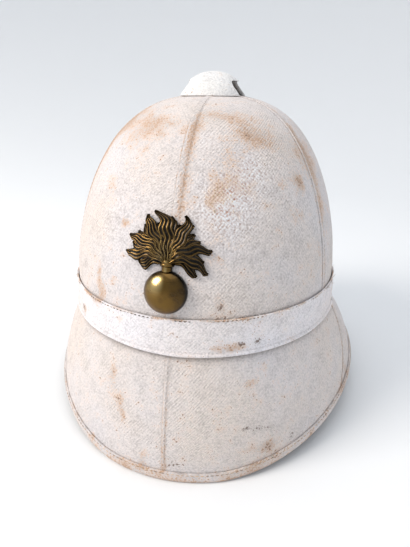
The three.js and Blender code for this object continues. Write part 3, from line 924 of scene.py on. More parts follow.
@dataclass(frozen=True)
class CrownCover:
    """The six gores of canvas glued over the cork crown."""

    form: HelmetForm
    soiling: Soiling
    seam: Seam = Seam(strip=4.4, ridge=0.52, lap=0.3)
    cloth: float = 0.95
    spacing: float = 1.5
    half_gap: float = 0.03
    names: tuple[str, ...] = GORES

    def relief(self, point: Vector, start: float, end: float) -> float:
        """How far the cloth stands off its plain form, from the seams and an uneven glued wall."""
        hang = -0.08 * (1 - smooth_mix(0, 0.8, end))
        uneven = 0.34 * ripple(point, 46) + 0.14 * ripple(point, 15)
        return self.seam.stands(start) + hang + uneven

    def soil(self, point: Vector, start: float, end: float) -> list[float]:
        """The soiling near the seams and in the stains, with painted shade along the seams and just above
        the band.
        """
        values = self.soiling.at(point)
        rubbed, painted_shade = Soil.RUBBED.value, Soil.SHADE.value
        from_strip = start - self.seam.strip
        strong = 0.5 + 0.55 * bell(point.z - 190, 26) + 0.4 * ripple(point, 11)
        strong *= 1 - 0.8 * smooth_mix(197, 209, point.z)
        high = smooth_mix(150, 195, point.z) * (1 - smooth_mix(198, 208, point.z))
        values[rubbed] += high * (0.16 + 0.3 * ripple(point, 21)) + 0.1 * ripple(point, 33)
        values[rubbed] += 0.85 * strong * bell(from_strip + 1.2, 2.2) - 0.7 * bell(start - 0.6, 0.6)
        values[rubbed] += 0.3 * strong * bell(from_strip - 2.2, 2.4) + 0.5 * strong * bell(end, 0.7)
        # painted shade along the seams' edges and in the crease just above the band
        values[painted_shade] += 0.06 * bell(end, 0.7) + 0.05 * bell(from_strip - 0.3, 0.5)
        over_band = point.z - self.form.band_top + self.form.band_slope * (point.y - self.form.middle)
        values[painted_shade] += 0.14 * bell(over_band, 0.9)
        return values

    def build(self, finish: bpy.types.Material) -> list[bpy.types.Object]:
        """Lays the six gores.

        Args:
            finish: the cloth's material.

        Returns:
            The gores.
        """
        form = self.form
        climbs = form.crown_rows(self.spacing)
        hidden = [form.band_height - form.brim_collar - form.fit_gap / 2, 12.0, 6.0, 1.5]
        rows = [(form.waist, below, 1.0) for below in hidden]
        rows += [(form.crown, climb, NUDGE) for climb in climbs]
        gores = []
        for number, name in enumerate(self.names):
            start, end = form.turn(60 * number), form.turn(60 * number + 60)
            mid = (start + end) / 2
            paces = [form.pace(face, mid, along) for face, along, _ in rows]
            heights = run_lengths([face(mid, along) for face, along, _ in rows])
            width = paces[0] * (end - start)
            lines = PanelLines(start, end, self.seam, round(width / self.spacing) - 8)

            def corner(column: int, row: int) -> ClothPoint:
                """The cloth point of one corner of the gore."""
                face, along, nudge = rows[row]
                turn, near, far = lines.place(column, paces[row], self.half_gap)
                point = face(turn, along)
                out = form.outward(face, turn, along, nudge)
                lift = self.relief(point, near, far) * (1 if face == form.crown else 0)
                weave = ((turn - mid) * paces[row], heights[row])
                return ClothPoint(point + out * lift, weave, self.soil(point, near, far))

            gore, cut = lay_cloth(f"crown_gore_{name}", lines.count, len(rows), corner)
            apply_modifier(gore, "SOLIDIFY", thickness=self.cloth * MM, offset=-1)
            smooth(gore, CLOTH_CREASE)
            hand_over(gore, finish, (f"crown_cover_{name}",))
            gores.append(gore)
        return gores

    def seam_paths(self, from_edge: float) -> list[list[Vector]]:
        """Lines that run up the seams' strips, where their stitches lie.

        Args:
            from_edge: how far from the seam the line runs.

        Returns:
            One line for each seam.
        """
        climbs = self.form.crown_rows(3)[1:]
        starts = [self.form.turn(60 * number) for number in range(len(self.names))]
        return [seam_path(self, self.form.crown, start, climbs, from_edge) for start in starts]


@dataclass(frozen=True)
class BrimCover:
    """The three pieces of canvas on the brim: two halves of the peak and the neck guard."""

    form: HelmetForm
    soiling: Soiling
    seam: Seam = Seam(strip=2.2, ridge=0.34, lap=0.24)
    cloth: float = 0.95
    spacing: float = 1.6
    half_gap: float = 0.03

    def relief(self, point: Vector, start: float, end: float) -> float:
        """How far the cloth stands off its plain form."""
        hang = -0.06 * (1 - smooth_mix(0, 0.8, end))
        uneven = 0.45 * ripple(point, 38) + 0.16 * ripple(point, 13)
        return self.seam.stands(start) + hang + uneven

    def soil(self, point: Vector, start: float, end: float, share: float) -> list[float]:
        """The soiling near the seams, at the rim and in the stains, with painted shade along the seams and
        a painted shadow just under the band.
        """
        values = self.soiling.at(point)
        rubbed, painted_shade = Soil.RUBBED.value, Soil.SHADE.value
        strip = self.seam.strip
        values[rubbed] += 0.26 * smooth_mix(0.4, 1, share) * bell(start - 1.4, 1.3)
        values[rubbed] += 0.42 * (bell(start - 0.2, 0.5) + bell(start - strip - 0.2, 0.5))
        values[rubbed] += 0.3 * smooth_mix(0.86, 0.93, share) * (0.6 + ripple(point, 9))
        # painted shade along the seams' edges
        values[painted_shade] += 0.12 * bell(end, 0.6) + 0.1 * bell(start - strip - 0.2, 0.45)
        # painted shadow just under the band's hem
        values[painted_shade] += 0.6 * bell(share, 0.026)
        return values

    def build(self, finish: bpy.types.Material) -> list[bpy.types.Object]:
        """Lays the three pieces of canvas.

        Args:
            finish: the cloth's material.

        Returns:
            The pieces.
        """
        form = self.form
        collar = form.band_height - form.brim_collar + form.fit_gap / 2
        side, whole = form.turn(form.side_seam), math.tau
        spans = {
            "peak_cover_right": (0.0, side),
            "guard_cover": (side, whole - side),
            "peak_cover_left": (whole - side, whole),
        }
        count = 46
        rows = [(form.brim, 1 - i / count, NUDGE) for i in range(count + 1)] + [(form.waist, collar, 1.0)]
        covers = []
        for name, (start, end) in spans.items():
            mid = (start + end) / 2
            paces = []
            for face, along, _ in rows:
                steps = [face(start + (end - start) * i / 24, along) for i in range(25)]
                paces.append(run_lengths(steps)[-1] / (end - start))
            heights = run_lengths([face(mid, along) for face, along, _ in rows])
            lines = PanelLines(start, end, self.seam, round(paces[0] * (end - start) / self.spacing) - 6)

            def corner(column: int, row: int) -> ClothPoint:
                """The cloth point of one corner of the piece."""
                face, along, nudge = rows[row]
                turn, near, far = lines.place(column, paces[row], self.half_gap)
                point = face(turn, along)
                out = form.outward(face, turn, along, nudge)
                held = smooth_mix(0, 0.06, along) * (1 - smooth_mix(0.89, 0.95, along))
                lift = self.relief(point, near, far) * (held if face == form.brim else 0)
                weave = ((turn - mid) * paces[row], heights[row])
                return ClothPoint(point + out * lift, weave, self.soil(point, near, far, along))

            cover, cut = lay_cloth(f"brim_{name}", lines.count, len(rows), corner)
            apply_modifier(cover, "SOLIDIFY", thickness=self.cloth * MM, offset=-1)
            smooth(cover, CLOTH_CREASE)
            hand_over(cover, finish, (name,))
            covers.append(cover)
        return covers

    def seam_paths(self, from_edge: float) -> list[list[Vector]]:
        """Lines that run down the brim's seams, where their stitches lie.

        Args:
            from_edge: how far from the seam the line runs.

        Returns:
            One line for each seam.
        """
        side = self.form.turn(self.form.side_seam)
        shares = [0.04 + 0.86 * i / 20 for i in range(1, 20)]
        starts = (0.0, side, math.tau - side)
        return [seam_path(self, self.form.brim, start, shares, from_edge) for start in starts]


@dataclass(frozen=True)
class HatBand:
    """The folded band of canvas round the waist, with a rolled hem along its lower edge."""

    form: HelmetForm
    soiling: Soiling
    stand: float = 1.25
    hem: float = 2.6
    hem_stand: float = 2.4
    cloth: float = 0.6
    corner_lift: float = 1.3
    columns: int = 440
    path_points: int = 300

    def profile(self) -> list[tuple[float, float]]:
        """The band's section: distance below its top edge and distance out, from the hem up."""
        foot = self.form.band_height
        hem = [(foot - 0.1, 0.75), (foot, 1.3), (foot - 0.3, 1.9), (foot - 0.8, 2.25)]
        hem += [(foot - 1.3, self.hem_stand), (foot - 1.9, 2.2), (foot - self.hem + 0.25, 1.75)]
        hem += [(foot - self.hem, 1.38), (foot - self.hem - 0.4, 1.28)]
        flat = [(foot - self.hem - 1.2 - 1.5 * i, self.stand) for i in range(11)]
        top = [(2.2, 1.22), (1.2, 1.25), (0.5, 1.2), (0.1, 0.95), (0.0, 0.55), (0.25, 0.4)]
        return hem + flat + top

    def relief(self, point: Vector, turn: float, below: float) -> float:
        """Soft folds of the band: one runs above the hem at the right, others are slighter."""
        foot = self.form.band_height
        inside = smooth_mix(0.5, 3, below) * (1 - smooth_mix(foot - 4.5, foot - 3.4, below))
        fold = -0.55 * bell(below - 14.5 - 2.5 * math.sin(1.7 * turn), 1.3)
        fold *= smooth_mix(0.25, 0.9, math.sin(turn) + 0.2)
        pleat = 0.3 * bell(below - 8 - 3 * math.sin(2 * turn), 2.2)
        return inside * (fold + pleat + 0.22 * ripple(point, 17)) + 0.14 * ripple(point, 24)

    def lift(self, turn: float) -> float:
        """How far the lower edge is drawn up left of the front, where it has a slight corner."""
        degrees = math.degrees(math.remainder(turn, math.tau))
        drawn = min(1.0, max(0.0, (3 - degrees) / 24))
        return self.corner_lift * drawn * (1 - smooth_mix(40, 85, -degrees))

    def soil(self, point: Vector, below: float) -> list[float]:
        """Soiling of the edges and in the stains, with painted shade in the crease over the hem and along
        the hem's lower edge.
        """
        values = self.soiling.at(point)
        from_foot = below - self.form.band_height
        frayed = 0.5 + 1.1 * ripple(point, 9)
        values[Soil.RUBBED.value] += 0.75 * frayed * bell(below, 1.1)
        # painted shade in the crease over the hem, and along the hem's lower edge
        values[Soil.SHADE.value] += 0.16 * bell(from_foot + self.hem + 0.1, 0.45)
        values[Soil.SHADE.value] += 0.7 * smooth_mix(-0.2, 0.1, from_foot + 0.15)
        return values

    def build(self, finish: bpy.types.Material) -> bpy.types.Object:
        """Lays the band.

        Args:
            finish: the cloth's material.

        Returns:
            The band.
        """
        form = self.form
        rows = self.profile()
        pace = (form.crown_half_width + form.crown_half_length) / 2

        def corner(column: int, row: int) -> ClothPoint:
            """The cloth point of one corner of the band."""
            below, stand = rows[row]
            turn = math.tau * column / self.columns
            point = form.waist(turn, below)
            out = form.outward(form.waist, turn, below, 1.0)
            uneven = self.relief(point, turn, below) * min(1.0, stand)
            place = point + out * (form.fit_gap + stand + uneven)
            place.z += self.lift(turn) * below / form.band_height
            weave = (turn * pace, form.band_height - below)
            return ClothPoint(place, weave, self.soil(point, below))

        band, cut = lay_cloth("hat_band", self.columns + 1, len(rows), corner, closed=True)
        apply_modifier(band, "SOLIDIFY", thickness=self.cloth * MM, offset=-1)
        smooth(band, CLOTH_CREASE)
        hand_over(band, finish, ("band",))
        return band

    def path(self, below: float, stand: float) -> list[Vector]:
        """A line of stitches round the band.

        Args:
            below: how far under the band's top edge it runs.
            stand: how far out of the wall it lies.

        Returns:
            The line's points, the last one short of the first.
        """
        points = []
        for i in range(self.path_points):
            turn = math.tau * i / self.path_points
            point = self.form.waist(turn, below)
            out = self.form.outward(self.form.waist, turn, below, 1.0)
            sunk = 0.6 * smooth_mix(-0.15, 0.3, ripple(point, 13))
            lift = self.form.fit_gap + stand - sunk + self.relief(point, turn, below)
            points.append(point + out * lift)
        return points


@dataclass(frozen=True)
class RimBinding:
    """The strip of cloth folded round the brim's edge, flat along its sole."""

    form: HelmetForm
    soiling: Soiling
    cloth: float = 0.9
    mean_radius: float = 135.0  # of the rim, for the weave's run along it
    columns: int = 560
    path_points: int = 360

    def profile(self) -> list[tuple[float, float]]:
        """The fold's section, from its inner edge round to its outer one: distance out of the
        canvas face, and distance up the brim from the edge."""
        inner = [(-5.9, 5.7), (-6.35, 5.9), (-6.55, 5.5), (-6.2, 4.0), (-5.7, 2.4), (-5.3, 1.0)]
        sole = [(-5.05, 0.0), (-4.7, -0.75), (-4.0, -1.2), (-3.0, -1.3), (-1.6, -1.3), (-0.3, -1.25)]
        outer = [(0.5, -0.95), (1.05, -0.4), (1.25, 0.4), (1.35, 1.4), (1.35, 2.4), (1.3, 3.4)]
        outer += [(1.3, 4.4), (1.2, 5.2), (1.0, 5.8), (0.65, 6.15), (0.25, 6.1)]
        return inner + sole + outer

    def soil(self, point: Vector, degrees: float, out: float, up: float) -> list[float]:
        """How rubbed the fold is round the rim: most at the front and the right; with painted shade in dots
        along its upper edge and under its sole.
        """
        values = self.soiling.at(point)
        front = 0.8 * bell(degrees + 4, 24) + 0.6 * bell(degrees - 24, 12)
        right = 0.8 * bell(degrees - 68, 14)
        back = 0.5 * bell(abs(degrees) - 150, 40)
        worn = 0.02 + 0.34 * (front + right + back) + 0.34 * ripple(point, 9)
        values[Soil.RUBBED.value] += worn + (0.25 if out > 0 and -1 < up < 1.2 else 0)
        # painted shade, broken into dots, along the binding's upper edge
        dotted = max(0.0, 0.16 + 0.5 * ripple(point, 3.5))
        values[Soil.SHADE.value] += dotted * bell(up - 6.1, 0.5) * (out > 0)
        # painted shade under the binding's sole
        values[Soil.SHADE.value] += 0.35 * smooth_mix(-0.6, -1.3, up)
        return values

    def build(self, finish: bpy.types.Material) -> bpy.types.Object:
        """Folds the binding round the rim.

        Args:
            finish: the cloth's material.

        Returns:
            The binding.
        """
        form = self.form
        rows = self.profile()
        lengths = run_lengths([Vector(row) for row in rows])

        def corner(column: int, row: int) -> ClothPoint:
            """The cloth point of one corner of the binding."""
            depth, up = rows[row]
            turn = math.tau * column / self.columns
            share = min(1.0, form.binding_share(turn, max(up, 0)))
            point = form.brim_upright(turn, share)
            out = form.outward(form.brim_upright, turn, share, NUDGE)
            level = Vector((out.x, out.y, 0))
            out = (level / level.length_squared).lerp(out, smooth_mix(0, 2.5, up))
            wave = 0.12 * ripple(point, 5) * (up > 0) + 0.1 * ripple(point, 16) * (up > -0.5)
            place = point + out * (depth + (wave if depth > 0 else 0)) + Vector((0, 0, min(0.0, up)))
            degrees = math.degrees(math.atan2(point.x, -(point.y - form.middle)))
            weave = (turn * self.mean_radius, lengths[row])
            return ClothPoint(place, weave, self.soil(point, degrees, depth, up))

        binding, cut = lay_cloth("brim_edge_binding", self.columns + 1, len(rows), corner, closed=True)
        apply_modifier(binding, "SOLIDIFY", thickness=self.cloth * MM, offset=-1)
        smooth(binding, CLOTH_CREASE)
        hand_over(binding, finish, ("rim_binding",))
        return binding

    def path(self, up: float, stand: float) -> list[Vector]:
        """A line of stitches round the rim.

        Args:
            up: how far up the brim from its edge it runs.
            stand: how far out of the canvas face it lies.

        Returns:
            The line's points.
        """
        points = []
        for i in range(self.path_points):
            turn = math.tau * i / self.path_points
            share = self.form.binding_share(turn, up)
            point = self.form.brim_upright(turn, share)
            out = self.form.outward(self.form.brim_upright, turn, share, NUDGE)
            points.append(point + out * stand)
        return points


@dataclass(frozen=True)
class Stitching:
    """Rows of sewing: one stitch is modelled, repeated along a line and bent to follow it."""

    length: float = 2.1
    pitch: float = 3.0
    thickness: float = 0.5

    def row(self, path: list[Vector], closed: bool) -> bpy.types.Object:
        """Sews one row.

        Args:
            path: the points that it follows, in mm.
            closed: whether it runs round to its start.

        Returns:
            The row of stitches.
        """
        line = bpy.data.curves.new("stitch_line", "CURVE")
        line.dimensions = "3D"
        spline = line.splines.new("POLY")
        spline.points.add(len(path) - 1)
        for point, place in zip(spline.points, path):
            point.co = (*(place * MM), 1)
        spline.use_cyclic_u = closed
        guide = bpy.data.objects.new("stitch_line", line)
        bpy.context.collection.objects.link(guide)
        deselect()
        bpy.ops.mesh.primitive_uv_sphere_add(segments=7, ring_count=5, radius=0.5)
        stitch = bpy.context.object
        stitch.rotation_euler = (0, math.pi / 2, 0)
        bpy.ops.object.transform_apply(location=False, rotation=True, scale=False)
        stitch.scale = (self.length * MM, self.thickness * MM, self.thickness * MM)
        bpy.ops.object.transform_apply(location=False, rotation=False, scale=True)
        for vertex in stitch.data.vertices:
            vertex.co.x += self.length * MM / 2
        apply_modifier(
            stitch,
            "ARRAY",
            fit_type="FIT_CURVE",
            curve=guide,
            use_relative_offset=False,
            use_constant_offset=True,
            constant_offset_displace=(self.pitch * MM, 0, 0),
        )
        apply_modifier(stitch, "CURVE", object=guide, deform_axis="POS_X")
        bpy.data.objects.remove(guide)
        return stitch

    def sew(
        self, name: str, open_paths: list, round_paths: list, finish: bpy.types.Material, slot: str
    ) -> bpy.types.Object:
        """Sews several rows as one piece.

        Args:
            name: the piece's name.
            open_paths: lines with two ends.
            round_paths: lines that close on themselves.
            finish: the thread's material.
            slot: not used.

        Returns:
            The stitches.
        """
        rows = [self.row(path, False) for path in open_paths]
        rows += [self.row(path, True) for path in round_paths]
        stitches = join(rows, name)
        smooth(stitches, FINE_CREASE)
        hand_over(stitches, finish)
        return stitches


@dataclass(frozen=True)
class FrayedThreads:
    """Short loose threads that stand out of a worn edge."""

    band: HatBand
    count: int = 90
    radius: float = 0.23
    shortest: float = 1.2
    longest: float = 3.6
    seed: int = 11

    def build(self, finish: bpy.types.Material) -> bpy.types.Object:
        """Sets the threads along the band's top edge, most of them where it is worn most.

        Args:
            finish: the threads' material.

        Returns:
            The threads.
        """
        chance = random.Random(self.seed)
        deselect()
        bpy.ops.mesh.primitive_cone_add(vertices=5, radius1=self.radius, radius2=self.radius / 2, depth=1)
        pattern = bpy.context.object
        form = self.band.form
        threads = []
        for number in range(self.count):
            spread = chance.gauss(40, 22) if number % 2 else chance.uniform(-60, 300)
            turn = form.turn(spread)
            place = form.waist(turn, 0.4)
            out = form.outward(form.waist, turn, 0.4, 1.0)
            along = form.waist(turn + 0.01, 0) - form.waist(turn - 0.01, 0)
            aim = along.normalized() * chance.uniform(-1, 1)
            aim += Vector((0, 0, chance.uniform(-0.1, 0.5))) + out * 0.25
            swing = Vector((0, 0, 1)).rotation_difference(aim)
            length = chance.uniform(self.shortest, self.longest)
            thread = bpy.data.objects.new("thread", pattern.data.copy())
            bpy.context.collection.objects.link(thread)
            for vertex in thread.data.vertices:
                corner = Vector((vertex.co.x, vertex.co.y, (vertex.co.z + 0.5) * length))
                vertex.co = (place + out * (form.fit_gap + self.band.stand) + swing @ corner) * MM
            threads.append(thread)
        bpy.data.objects.remove(pattern)
        frayed = join(threads, "band_frayed_threads")
        smooth(frayed, FINE_CREASE)
        hand_over(frayed, finish)
        return frayed


@dataclass(frozen=True)
class VentilatorCap:
    """The hollow dome over the vent hole, with an arched slot in each side."""

    form: HelmetForm
    radius: float = 25.2
    height: float = 15.7
    wall: float = 2.5
    slot_width: float = 29.0
    slot_height: float = 9.5
    slot_round: float = 6.0
    sharp: float = 40.0  # degrees; a greater turn is an edge

    def foot(self) -> Vector:
        """The middle of the dome's lower edge."""
        reach = (self.radius - self.wall) / self.form.crown_half_length
        climb = math.acos(reach ** (1 / self.form.shoulder_power))
        top = self.form.crown(0, climb).z + self.form.fit_gap
        return Vector((0, self.form.middle + self.form.apex_back, top))

    def build(self, finish: bpy.types.Material) -> bpy.types.Object:
        """Models the cap.

        Args:
            finish: the cap's material.

        Returns:
            The cap.
        """
        ball = (self.radius**2 + self.height**2) / (2 * self.height)
        sunk = ball - self.height
        deselect()
        bpy.ops.mesh.primitive_uv_sphere_add(
            segments=112, ring_count=72, radius=ball * MM, location=(0, 0, -sunk * MM)
        )
        cap = bpy.context.object
        cap.name = cap.data.name = "ventilator_dome"
        bpy.ops.object.transform_apply(location=True, rotation=False, scale=False)
        bpy.ops.object.mode_set(mode="EDIT")
        bpy.ops.mesh.select_all(action="SELECT")
        bpy.ops.mesh.bisect(plane_co=(0, 0, 0), plane_no=(0, 0, 1), clear_inner=True)
        bpy.ops.object.mode_set(mode="OBJECT")
        apply_modifier(cap, "SOLIDIFY", thickness=self.wall * MM, offset=-1)
        bar = self.slot_bar()
        apply_modifier(cap, "BOOLEAN", object=bar, operation="DIFFERENCE", solver="EXACT")
        bpy.data.objects.remove(bar)
        sharp = math.radians(self.sharp)
        apply_modifier(cap, "BEVEL", width=0.55 * MM, segments=3, limit_method="ANGLE", angle_limit=sharp)
        foot = self.foot()
        soil_and_painted_shade = []
        for vertex in cap.data.vertices:
            point = vertex.co / MM
            deep = ball - (point + Vector((0, 0, sunk))).length
            near_slot = abs(point.y) < self.slot_width / 2 + 0.5 and abs(point.x) > self.radius / 3
            rubbed = 0.55 if deep > 0.25 and near_slot else 0.0
            # painted shade: the cap's inner wall is darkened, near black with this cap's finish
            soil_and_painted_shade.extend((rubbed, 0.0, smooth_mix(self.wall - 0.7, self.wall - 0.3, deep), 1.0))
            uneven = 0.2 * ripple(point, 12) + 0.16 * ripple(point, 3.4)
            vertex.co = (point + point.normalized() * uneven * smooth_mix(1, 6, point.z) + foot) * MM
        soiling = cap.data.color_attributes.new(name="soiling", type="FLOAT_COLOR", domain="POINT")
        soiling.data.foreach_set("color", soil_and_painted_shade)
        smooth(cap, self.sharp)
        hand_over(cap, finish, ("ventilator_cap",))
        return cap

    def slot_bar(self) -> bpy.types.Object:
        """The round-shouldered bar that cuts both slots, with its long way along X."""
        bpy.ops.mesh.primitive_cube_add(size=1)
        bar = bpy.context.object
        bar.scale = (4 * self.radius * MM, self.slot_width * MM, 2 * self.slot_height * MM)
        bpy.ops.object.transform_apply(location=False, rotation=False, scale=True)
        bpy.ops.object.mode_set(mode="EDIT")
        bpy.ops.mesh.select_all(action="DESELECT")
        bpy.ops.object.mode_set(mode="OBJECT")
        for edge in bar.data.edges:
            ends = [bar.data.vertices[i].co for i in edge.vertices]
            edge.select = all(end.z > 0 for end in ends) and abs(ends[0].x - ends[1].x) > self.radius * MM
        bpy.ops.object.mode_set(mode="EDIT")
        bpy.ops.mesh.bevel(offset=self.slot_round * MM, segments=8)
        bpy.ops.object.mode_set(mode="OBJECT")
        return bar


@dataclass(frozen=True)
class Lock:
    """One lock of the flame: where its tip points, how far it reaches and how it waves.

    turn is in degrees from straight up; reach and width are shares of the flame's span; phase
    starts the wave and hook bends the tip, both in degrees; lift raises it over its neighbours.
    """

    turn: float
    reach: float
    width: float
    phase: float
    hook: float
    lift: float


LOCKS = (
    Lock(-105, 0.58, 0.13, 200, 26, 0),
    Lock(-91, 0.89, 0.115, 30, 22, 0.6),
    Lock(-82, 0.72, 0.115, 190, 0, 0.1),
    Lock(-74, 0.8, 0.12, 350, 12, 0.4),
    Lock(-64, 0.93, 0.13, 20, 8, 0.8),
    Lock(-53, 0.82, 0.13, 200, 12, 0.2),
    Lock(-43, 0.84, 0.12, 10, 10, 0.5),
    Lock(-34, 0.98, 0.13, 20, 18, 1),
    Lock(-27, 0.87, 0.11, 30, -16, 0.3),
    Lock(-17, 0.76, 0.13, 180, 0, 0),
    Lock(-6, 1, 0.16, 0, -26, 1.2),
    Lock(4, 0.86, 0.13, 20, -10, 0.5),
    Lock(14, 0.74, 0.13, 10, 0, -0.1),
    Lock(25, 0.84, 0.11, 0, 12, 0.2),
    Lock(29, 0.93, 0.13, 340, -26, 0.9),
    Lock(41, 0.72, 0.13, 10, 0, 0.1),
    Lock(53, 0.72, 0.12, 350, 8, 0.5),
    Lock(64, 0.7, 0.13, 20, 0, 0),
    Lock(72, 0.86, 0.12, 0, 0, 0.9),
    Lock(88, 0.69, 0.12, 20, 0, 0.2),
    Lock(97, 0.72, 0.12, 340, 10, 0.5),
    Lock(102, 0.8, 0.12, 0, 0, 0.8),
    Lock(112, 0.62, 0.11, 20, 8, 0.1),
)


@dataclass(frozen=True)
class GrenadeBadge:
    """The cast brass badge on the crown's front: a ball, a collared neck and a flame of locks."""

    form: HelmetForm
    over_band: float = 2.2
    ball_radius: float = 12.0
    ball_relief: float = 8.0
    ball_edge: float = 0.6
    neck_radius: float = 3.0
    collar_radius: float = 4.0
    collar_up: float = 14.8
    collar_height: float = 2.4
    root_up: float = 16.0
    span: float = 27.8
    wave: float = 0.75
    wave_length: float = 10.0
    # painted highlight: the spot of the ball pushed towards rubbed gold, where the highlight falls
    painted_highlight_at: tuple[float, float] = (-3.6, 5.8)  # from the ball's middle
    wide_lock: float = 0.121  # share of the span over which a lock has a fourth strand

    @lru_cache(maxsize=None)
    def climb_at(self, up: float) -> float:
        """The crown's climb at a distance up from the ball's middle.

        Args:
            up: the distance, in mm.

        Returns:
            The climb, in radians.
        """
        form = self.form
        height = form.waist(0, 0).z + self.over_band + self.ball_radius
        low, high = 0.0, math.pi / 2
        for _ in range(HALVINGS):
            half = (low + high) / 2
            low, high = (half, high) if form.crown(0, half).z < height else (low, half)
        climb = low
        steps = 12
        for _ in range(steps):
            pace = (form.crown(0, climb + NUDGE) - form.crown(0, climb)).length / NUDGE
            climb += up / steps / pace
        return climb

    def on_crown(self, across: float, up: float, out: float) -> Vector:
        """The point across, up and out from the ball's middle on the crown's face."""
        climb = self.climb_at(round(up, 1))
        next_climb = self.climb_at(round(up, 1) + 0.1)
        climb += (next_climb - climb) * (up - round(up, 1)) / 0.1
        crown = self.form.crown
        turn = across / self.form.pace(crown, 0, climb)
        return crown(turn, climb) + self.form.outward(crown, turn, climb, NUDGE) * out

    def bend(self, piece: bpy.types.Object, wear_and_painted_light: list[float]) -> None:
        """Bends a flat-modelled piece onto the crown and notes how far each corner stands out, with painted
        light added on the ball and the flame.

        Args:
            piece: the mesh, in mm, with x across, y up and z out.
            wear_and_painted_light: for each corner, from 0 in a hollow to 1 on a ridge, raised for a
                painted highlight and lowered for painted shade.
        """
        attribute = piece.data.attributes.new("wear_and_painted_light", "FLOAT", "POINT")
        attribute.data.foreach_set("value", wear_and_painted_light)
        for vertex in piece.data.vertices:
            vertex.co = self.on_crown(*vertex.co) * MM

    def ball(self) -> bpy.types.Object:
        """The ball: a round dome with a low upright edge and a closed back."""
        deselect()
        bpy.ops.mesh.primitive_uv_sphere_add(segments=96, ring_count=64, radius=self.ball_radius)
        ball = bpy.context.object
        bpy.ops.object.mode_set(mode="EDIT")
        bpy.ops.mesh.select_all(action="SELECT")
        bpy.ops.mesh.bisect(plane_co=(0, 0, 0), plane_no=(0, 0, 1), clear_inner=True)
        bpy.ops.mesh.select_all(action="DESELECT")
        bpy.ops.object.mode_set(mode="OBJECT")
        for edge in ball.data.edges:
            edge.select = all(abs(ball.data.vertices[i].co.z) < 1e-4 for i in edge.vertices)
        bpy.ops.object.mode_set(mode="EDIT")
        bpy.ops.mesh.extrude_region_move(TRANSFORM_OT_translate={"value": (0, 0, -self.ball_edge)})
        bpy.ops.mesh.edge_face_add()
        bpy.ops.object.mode_set(mode="OBJECT")
        squash = (self.ball_relief - self.ball_edge) / self.ball_radius
        for vertex in ball.data.vertices:
            vertex.co.z = vertex.co.z * squash + self.ball_edge if vertex.co.z > -1e-4 else 0
            vertex.co.z += self.form.fit_gap
        wear_and_painted_light = []
        for vertex in ball.data.vertices:
            # painted shade: the ball's right side is pushed towards the dark hollow colour; painted
            # highlight: a spot at its upper left is pushed towards rubbed gold
            shaded = 0.34 * smooth_mix(-0.2, 1, vertex.co.x / self.ball_radius)
            rubbed_and_painted_highlight = 0.16 * bell((vertex.co.xy - Vector(self.painted_highlight_at)).length, 4.243)
            face = 0.25 + 0.6 * smooth_mix(0, 0.75, vertex.co.z / self.ball_relief)
            wear_and_painted_light.append(face - shaded + rubbed_and_painted_highlight)
        self.bend(ball, wear_and_painted_light)
        return ball

    def bar(self, radius: float, low: float, high: float, bulge: float) -> bpy.types.Object:
        """A round bar lying on the crown, for the neck and its collar.

        Args:
            radius: its radius.
            low: where it starts above the ball's middle.
            high: where it ends.
            bulge: how much its ends are rounded off.

        Returns:
            The bar.
        """
        deselect()
        bpy.ops.mesh.primitive_cylinder_add(vertices=40, radius=radius, depth=high - low)
        bar = bpy.context.object
        bar.rotation_euler = (math.pi / 2, 0, 0)
        bpy.ops.object.transform_apply(location=False, rotation=True, scale=False)
        sharp = math.radians(40)
        apply_modifier(bar, "BEVEL", width=bulge, segments=4, limit_method="ANGLE", angle_limit=sharp)
        for vertex in bar.data.vertices:
            vertex.co.y += (low + high) / 2
            vertex.co.z = self.form.fit_gap + max(0.0, vertex.co.z) * 1.15
        self.bend(bar, [0.3 + 0.4 * (v.co.z / radius) ** 2 for v in bar.data.vertices])
        return bar

    def lock(self, lock: Lock) -> bpy.types.Object:
        """One lock: a tapering leaf whose strands wave from the root to the tip.

        Args:
            lock: its direction and shape.

        Returns:
            The lock.
        """
        deselect()
        bpy.ops.mesh.primitive_grid_add(x_subdivisions=24, y_subdivisions=44, size=2)
        leaf = bpy.context.object
        length = lock.reach * self.span
        aim = math.radians(lock.turn)
        wear_and_painted_light = []
        for vertex in leaf.data.vertices:
            side, share = vertex.co.x, (vertex.co.y + 1) / 2
            run = 0.03 + 0.97 * share
            heading = aim * (0.5 + 0.5 * min(1.0, run * 1.1))
            heading += math.radians(lock.hook) * max(0.0, run - 0.72) ** 1.5 * 3
            middle = Vector((math.sin(heading), math.cos(heading))) * (length * run)
            across = Vector((math.cos(heading), -math.sin(heading)))
            phase = math.tau * run * length / self.wave_length + math.radians(lock.phase)
            wave = self.wave * math.sin(phase) * smooth_mix(0.08, 0.5, run)
            full = (run + 0.22) / 0.62 * ((1 - run) / 0.6) ** 0.62 if run < 1 else 0.0
            half = lock.width * self.span * min(1.05, full) + 0.08
            spot = middle + across * (wave + side * half)
            strands = 4 if lock.width > self.wide_lock else 3
            at = (side + 1) / 2 * strands
            ridge = 1 - abs(2 * (at - math.floor(at)) - 1) if side < 0.999 else 0.0
            body = (1 - 0.6 * side * side + 0.8 * lock.lift) * (1 - 0.55 * run)
            out = 0.75 + body + 0.75 * ridge**0.8 * (0.4 + 0.6 * (1 - run))
            vertex.co = (spot.x, self.root_up + spot.y, self.form.fit_gap + out)
            worn = 0.14 + 0.86 * ridge**2.2 * (1 - 0.3 * run) + 0.06 * lock.lift
